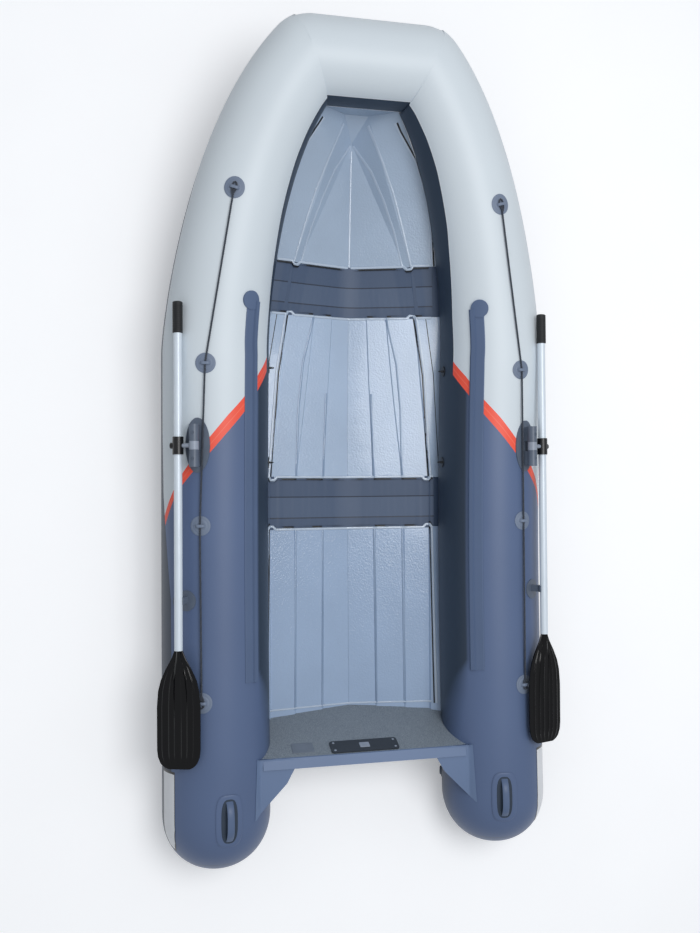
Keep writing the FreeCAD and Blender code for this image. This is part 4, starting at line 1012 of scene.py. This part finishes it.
LOCK_Y, LOCK_ANGLE, STAND_OFF = BEND_Y - 0.385, 67, 0.046
SLOPE, DIP, TILT, STEM = math.radians(1.7), math.radians(28), math.radians(18), 0.070
OAR_ALONG = Vector((0, math.cos(SLOPE), math.sin(SLOPE)))
GRIP_END, GRIP_LENGTH, UPPER_SHAFT, LOWER_SHAFT = 0.590, 0.130, 0.805, 0.487
GRIP_START = GRIP_END - GRIP_LENGTH
NECK = GRIP_END - GRIP_LENGTH - UPPER_SHAFT - LOWER_SHAFT
BLADE_EDGE = ((0.0, 0.017), (0.030, 0.028), (0.077, 0.054), (0.121, 0.074), (0.165, 0.085), (0.230, 0.090),
              (0.400, 0.0895), (0.430, 0.086), (0.455, 0.076), (0.470, 0.062), (0.478, 0.045))
RIDGES = (-0.72, -0.42, -0.16, 0.16, 0.42, 0.72)
BLADE_LENGTH, BLADE_ROWS, BLADE_POINTS = BLADE_EDGE[-1][0], 90, 81
BLADE_HALF_THICK, BACK_SPINE = 0.0035, 0.013
FACE_RISE, SPINE_RISE, RIDGE_RISE, RIDGE_HALF = 0.0038, 0.0155, 0.0042, 0.075
MIDDLE_GROOVE, EDGE_FALL = 0.0008, 0.002
GRIP_R, GRIP_VALLEY_R, RIB_START, RIB_STEP, RIBS = 0.0208, 0.0198, 0.006, 0.0075, 15


def blade_height(a, b):
    """Top of the blade over its middle plane, at a share of its length and of its half width."""
    spine = SPINE_RISE * max(0.0, 1 - a * 1.5) * max(0.0, 1 - abs(b) * (2.0 + 5 * a)) ** 0.6
    fade = min(1.0, max(0.0, (a - 0.10) / 0.15)) * min(1.0, max(0.0, (1.0 - a) / 0.12))
    ribs = max(0.0, 1 - min(abs(b - place) for place in RIDGES) / RIDGE_HALF)
    groove = MIDDLE_GROOVE * max(0.0, 1 - abs(b) / 0.03)
    ridges = RIDGE_RISE * fade * ribs * ribs * (3 - 2 * ribs)
    return FACE_RISE + spine + ridges - groove - EDGE_FALL * b ** 8


for name, side in SIDES:
    lock = ring(side, LOCK_Y)
    out = Vector((side, 0, 0))
    up = (out.cross(OAR_ALONG) * side).normalized()
    stem = out * math.cos(DIP) - up * math.sin(DIP)
    shaft = lock.point(LOCK_ANGLE, STAND_OFF) + stem * STEM
    neck = shaft + OAR_ALONG * NECK
    across = out * math.cos(TILT) - up * math.sin(TILT)
    face = (across.cross(OAR_ALONG) * side).normalized()
    blade = Builder()
    tops, bottoms = [], []
    spread = [math.sin(math.pi / 2 * b) for b in steps(-1.0, 1.0, BLADE_POINTS)]
    for a in steps(0.0, 1.0, BLADE_ROWS):
        half = between(BLADE_EDGE, a * BLADE_LENGTH)
        centre = neck - OAR_ALONG * (a * BLADE_LENGTH)
        spine = BACK_SPINE * max(0.0, 1 - a * 2)
        tops.append([centre + across * (half * b) + face * blade_height(a, b) for b in spread])
        bottoms.append([centre + across * (half * b) - face * (BLADE_HALF_THICK + spine * (1 - b * b))
                        for b in spread])
    rings = [top + list(reversed(bottom)) for top, bottom in zip(tops, bottoms)]
    if side < 0:
        rings = [list(reversed(row)) for row in rings]
    ids = blade.grid(rings, True)
    blade.cap(ids[0], 0, True)
    blade.cap(ids[-1])
    finished(blade.make(f"ridged_blade_{name}", [blade_gloss], 50.0), f"oar_{name}", "black_plastic",
             f"oar_blade_{name}")
    grip = Builder()
    profile = [(0.0, 0.0), (0.0, 0.0190), (0.002, GRIP_R)]
    for k in range(RIBS):
        start = RIB_START + RIB_STEP * k
        profile += [(start, GRIP_R), (start + 0.0050, GRIP_R), (start + 0.0062, GRIP_VALLEY_R)]
    profile += [(GRIP_LENGTH - 0.008, 0.0210), (GRIP_LENGTH - 0.003, 0.0196),
                (GRIP_LENGTH - 0.0006, 0.0150), (GRIP_LENGTH, 0.0080), (GRIP_LENGTH, 0.0)]
    grip.lathe(shaft + OAR_ALONG * GRIP_START, OAR_ALONG, profile, 40)
    finished(grip.make(f"ribbed_grip_{name}", [grip_rubber], 30.0), f"oar_{name}", "grip_rubber",
             f"oar_grip_{name}")


# Finishes of the pieces that keep their solid shape

def dress(node, *materials):
    slots = nodes[node].data.materials
    slots.clear()
    for material in materials:
        slots.append(material.material if isinstance(material, Shader) else material)


for name, side in SIDES:
    dress(f"rub_strake_{name}", strake_rubber)
    dress(f"seat_rail_{name}", rail_rubber)
    dress(f"knee_{name}", knee_fabric)
    dress(f"oarlock_{name}", grey_plastic)
    dress(f"oarlock_knuckle_{name}", light_plastic)
    dress(f"oar_shaft_upper_{name}", metal_tube)
    dress(f"oar_shaft_lower_{name}", metal_tube)
    dress(f"oar_collar_{name}", black_plastic)
    dress(f"oar_nut_{name}", black_plastic)
    dress(f"oar_clip_{name}", grey_plastic)
dress("rub_strake_bow", strake_rubber)
dress("hull_stern", stern_resin)
dress("hull_mid", mid_resin)
dress("hull_bow", bow_resin)
dress("hull_joint_aft", cover_base)
dress("hull_joint_forward", cover_base)
dress("keel_guards", strake_rubber)
dress("transom", board)
dress("motor_pad_inner", pad_plastic)
dress("motor_pad_outer", black_plastic)
dress("tie_rings", black_plastic)
dress("air_valves", grey_plastic)
dress("towing_eye", bright_steel)
dress("drain_plug", black_plastic)


# Floor at the waterline, open inside the hull, light and sky

REACH = 14.0
HOLE_X, HOLE_AFT, HOLE_FRONT = 0.380, 0.560, 2.900
AROUND_X, AROUND_Y = (-REACH, -HOLE_X, HOLE_X, REACH), (-REACH, HOLE_AFT, HOLE_FRONT, REACH)

floor = Builder()
for i, (x0, x1) in enumerate(zip(AROUND_X, AROUND_X[1:])):
    for k, (y0, y1) in enumerate(zip(AROUND_Y, AROUND_Y[1:])):
        if (i, k) != (1, 1):
            floor.grid([[Vector((x, y, 0)) for x in (x0, x1)] for y in (y0, y1)])


def floor_finish():
    """White to the eye and in reflections, and dull for the light that it throws back on the boat."""
    shader = Shader("pale_floor", tone(244, 245, 247), 0.7)
    path = shader.node("LightPath")
    seen = shader.math("MAXIMUM", path.outputs["Is Camera Ray"], path.outputs["Is Glossy Ray"])
    seen = shader.math("MAXIMUM", seen, path.outputs["Is Transmission Ray"])
    shader.colour(shader.mix(seen, tone(118, 122, 128), mottled(shader, tone(246, 247, 249), 2.0, 0.01)))
    shader.surface.inputs["Emission Color"].default_value = tone(250, 251, 255)
    shader.join(shader.math("MULTIPLY", seen, 0.24), shader.surface.inputs["Emission Strength"])
    shader.bump(shader.noise(30.0), 0.001, 0.05)
    return shader


floor.make("pale_floor", [floor_finish()])

world = bpy.data.worlds.new("studio")
bpy.context.scene.world = world
world.use_nodes = True
sky = world.node_tree.nodes["Background"]
sky.inputs["Color"].default_value = (0.94, 0.97, 1.0, 1.0)
sky.inputs["Strength"].default_value = 0.50


def soft_lamp(name, place, target, size, power):
    data = bpy.data.lights.new(name, "AREA")
    data.shape = "DISK"
    data.size = size
    data.energy = power
    lamp = bpy.data.objects.new(name, data)
    bpy.context.scene.collection.objects.link(lamp)
    lamp.location = place
    lamp.rotation_euler = (Vector(target) - Vector(place)).to_track_quat("-Z", "Y").to_euler()


soft_lamp("lamp_high", (0.9, 2.4, 6.0), (0, 1.8, 0), 3.4, 152)

bpy.context.scene.view_settings.view_transform = "Standard"
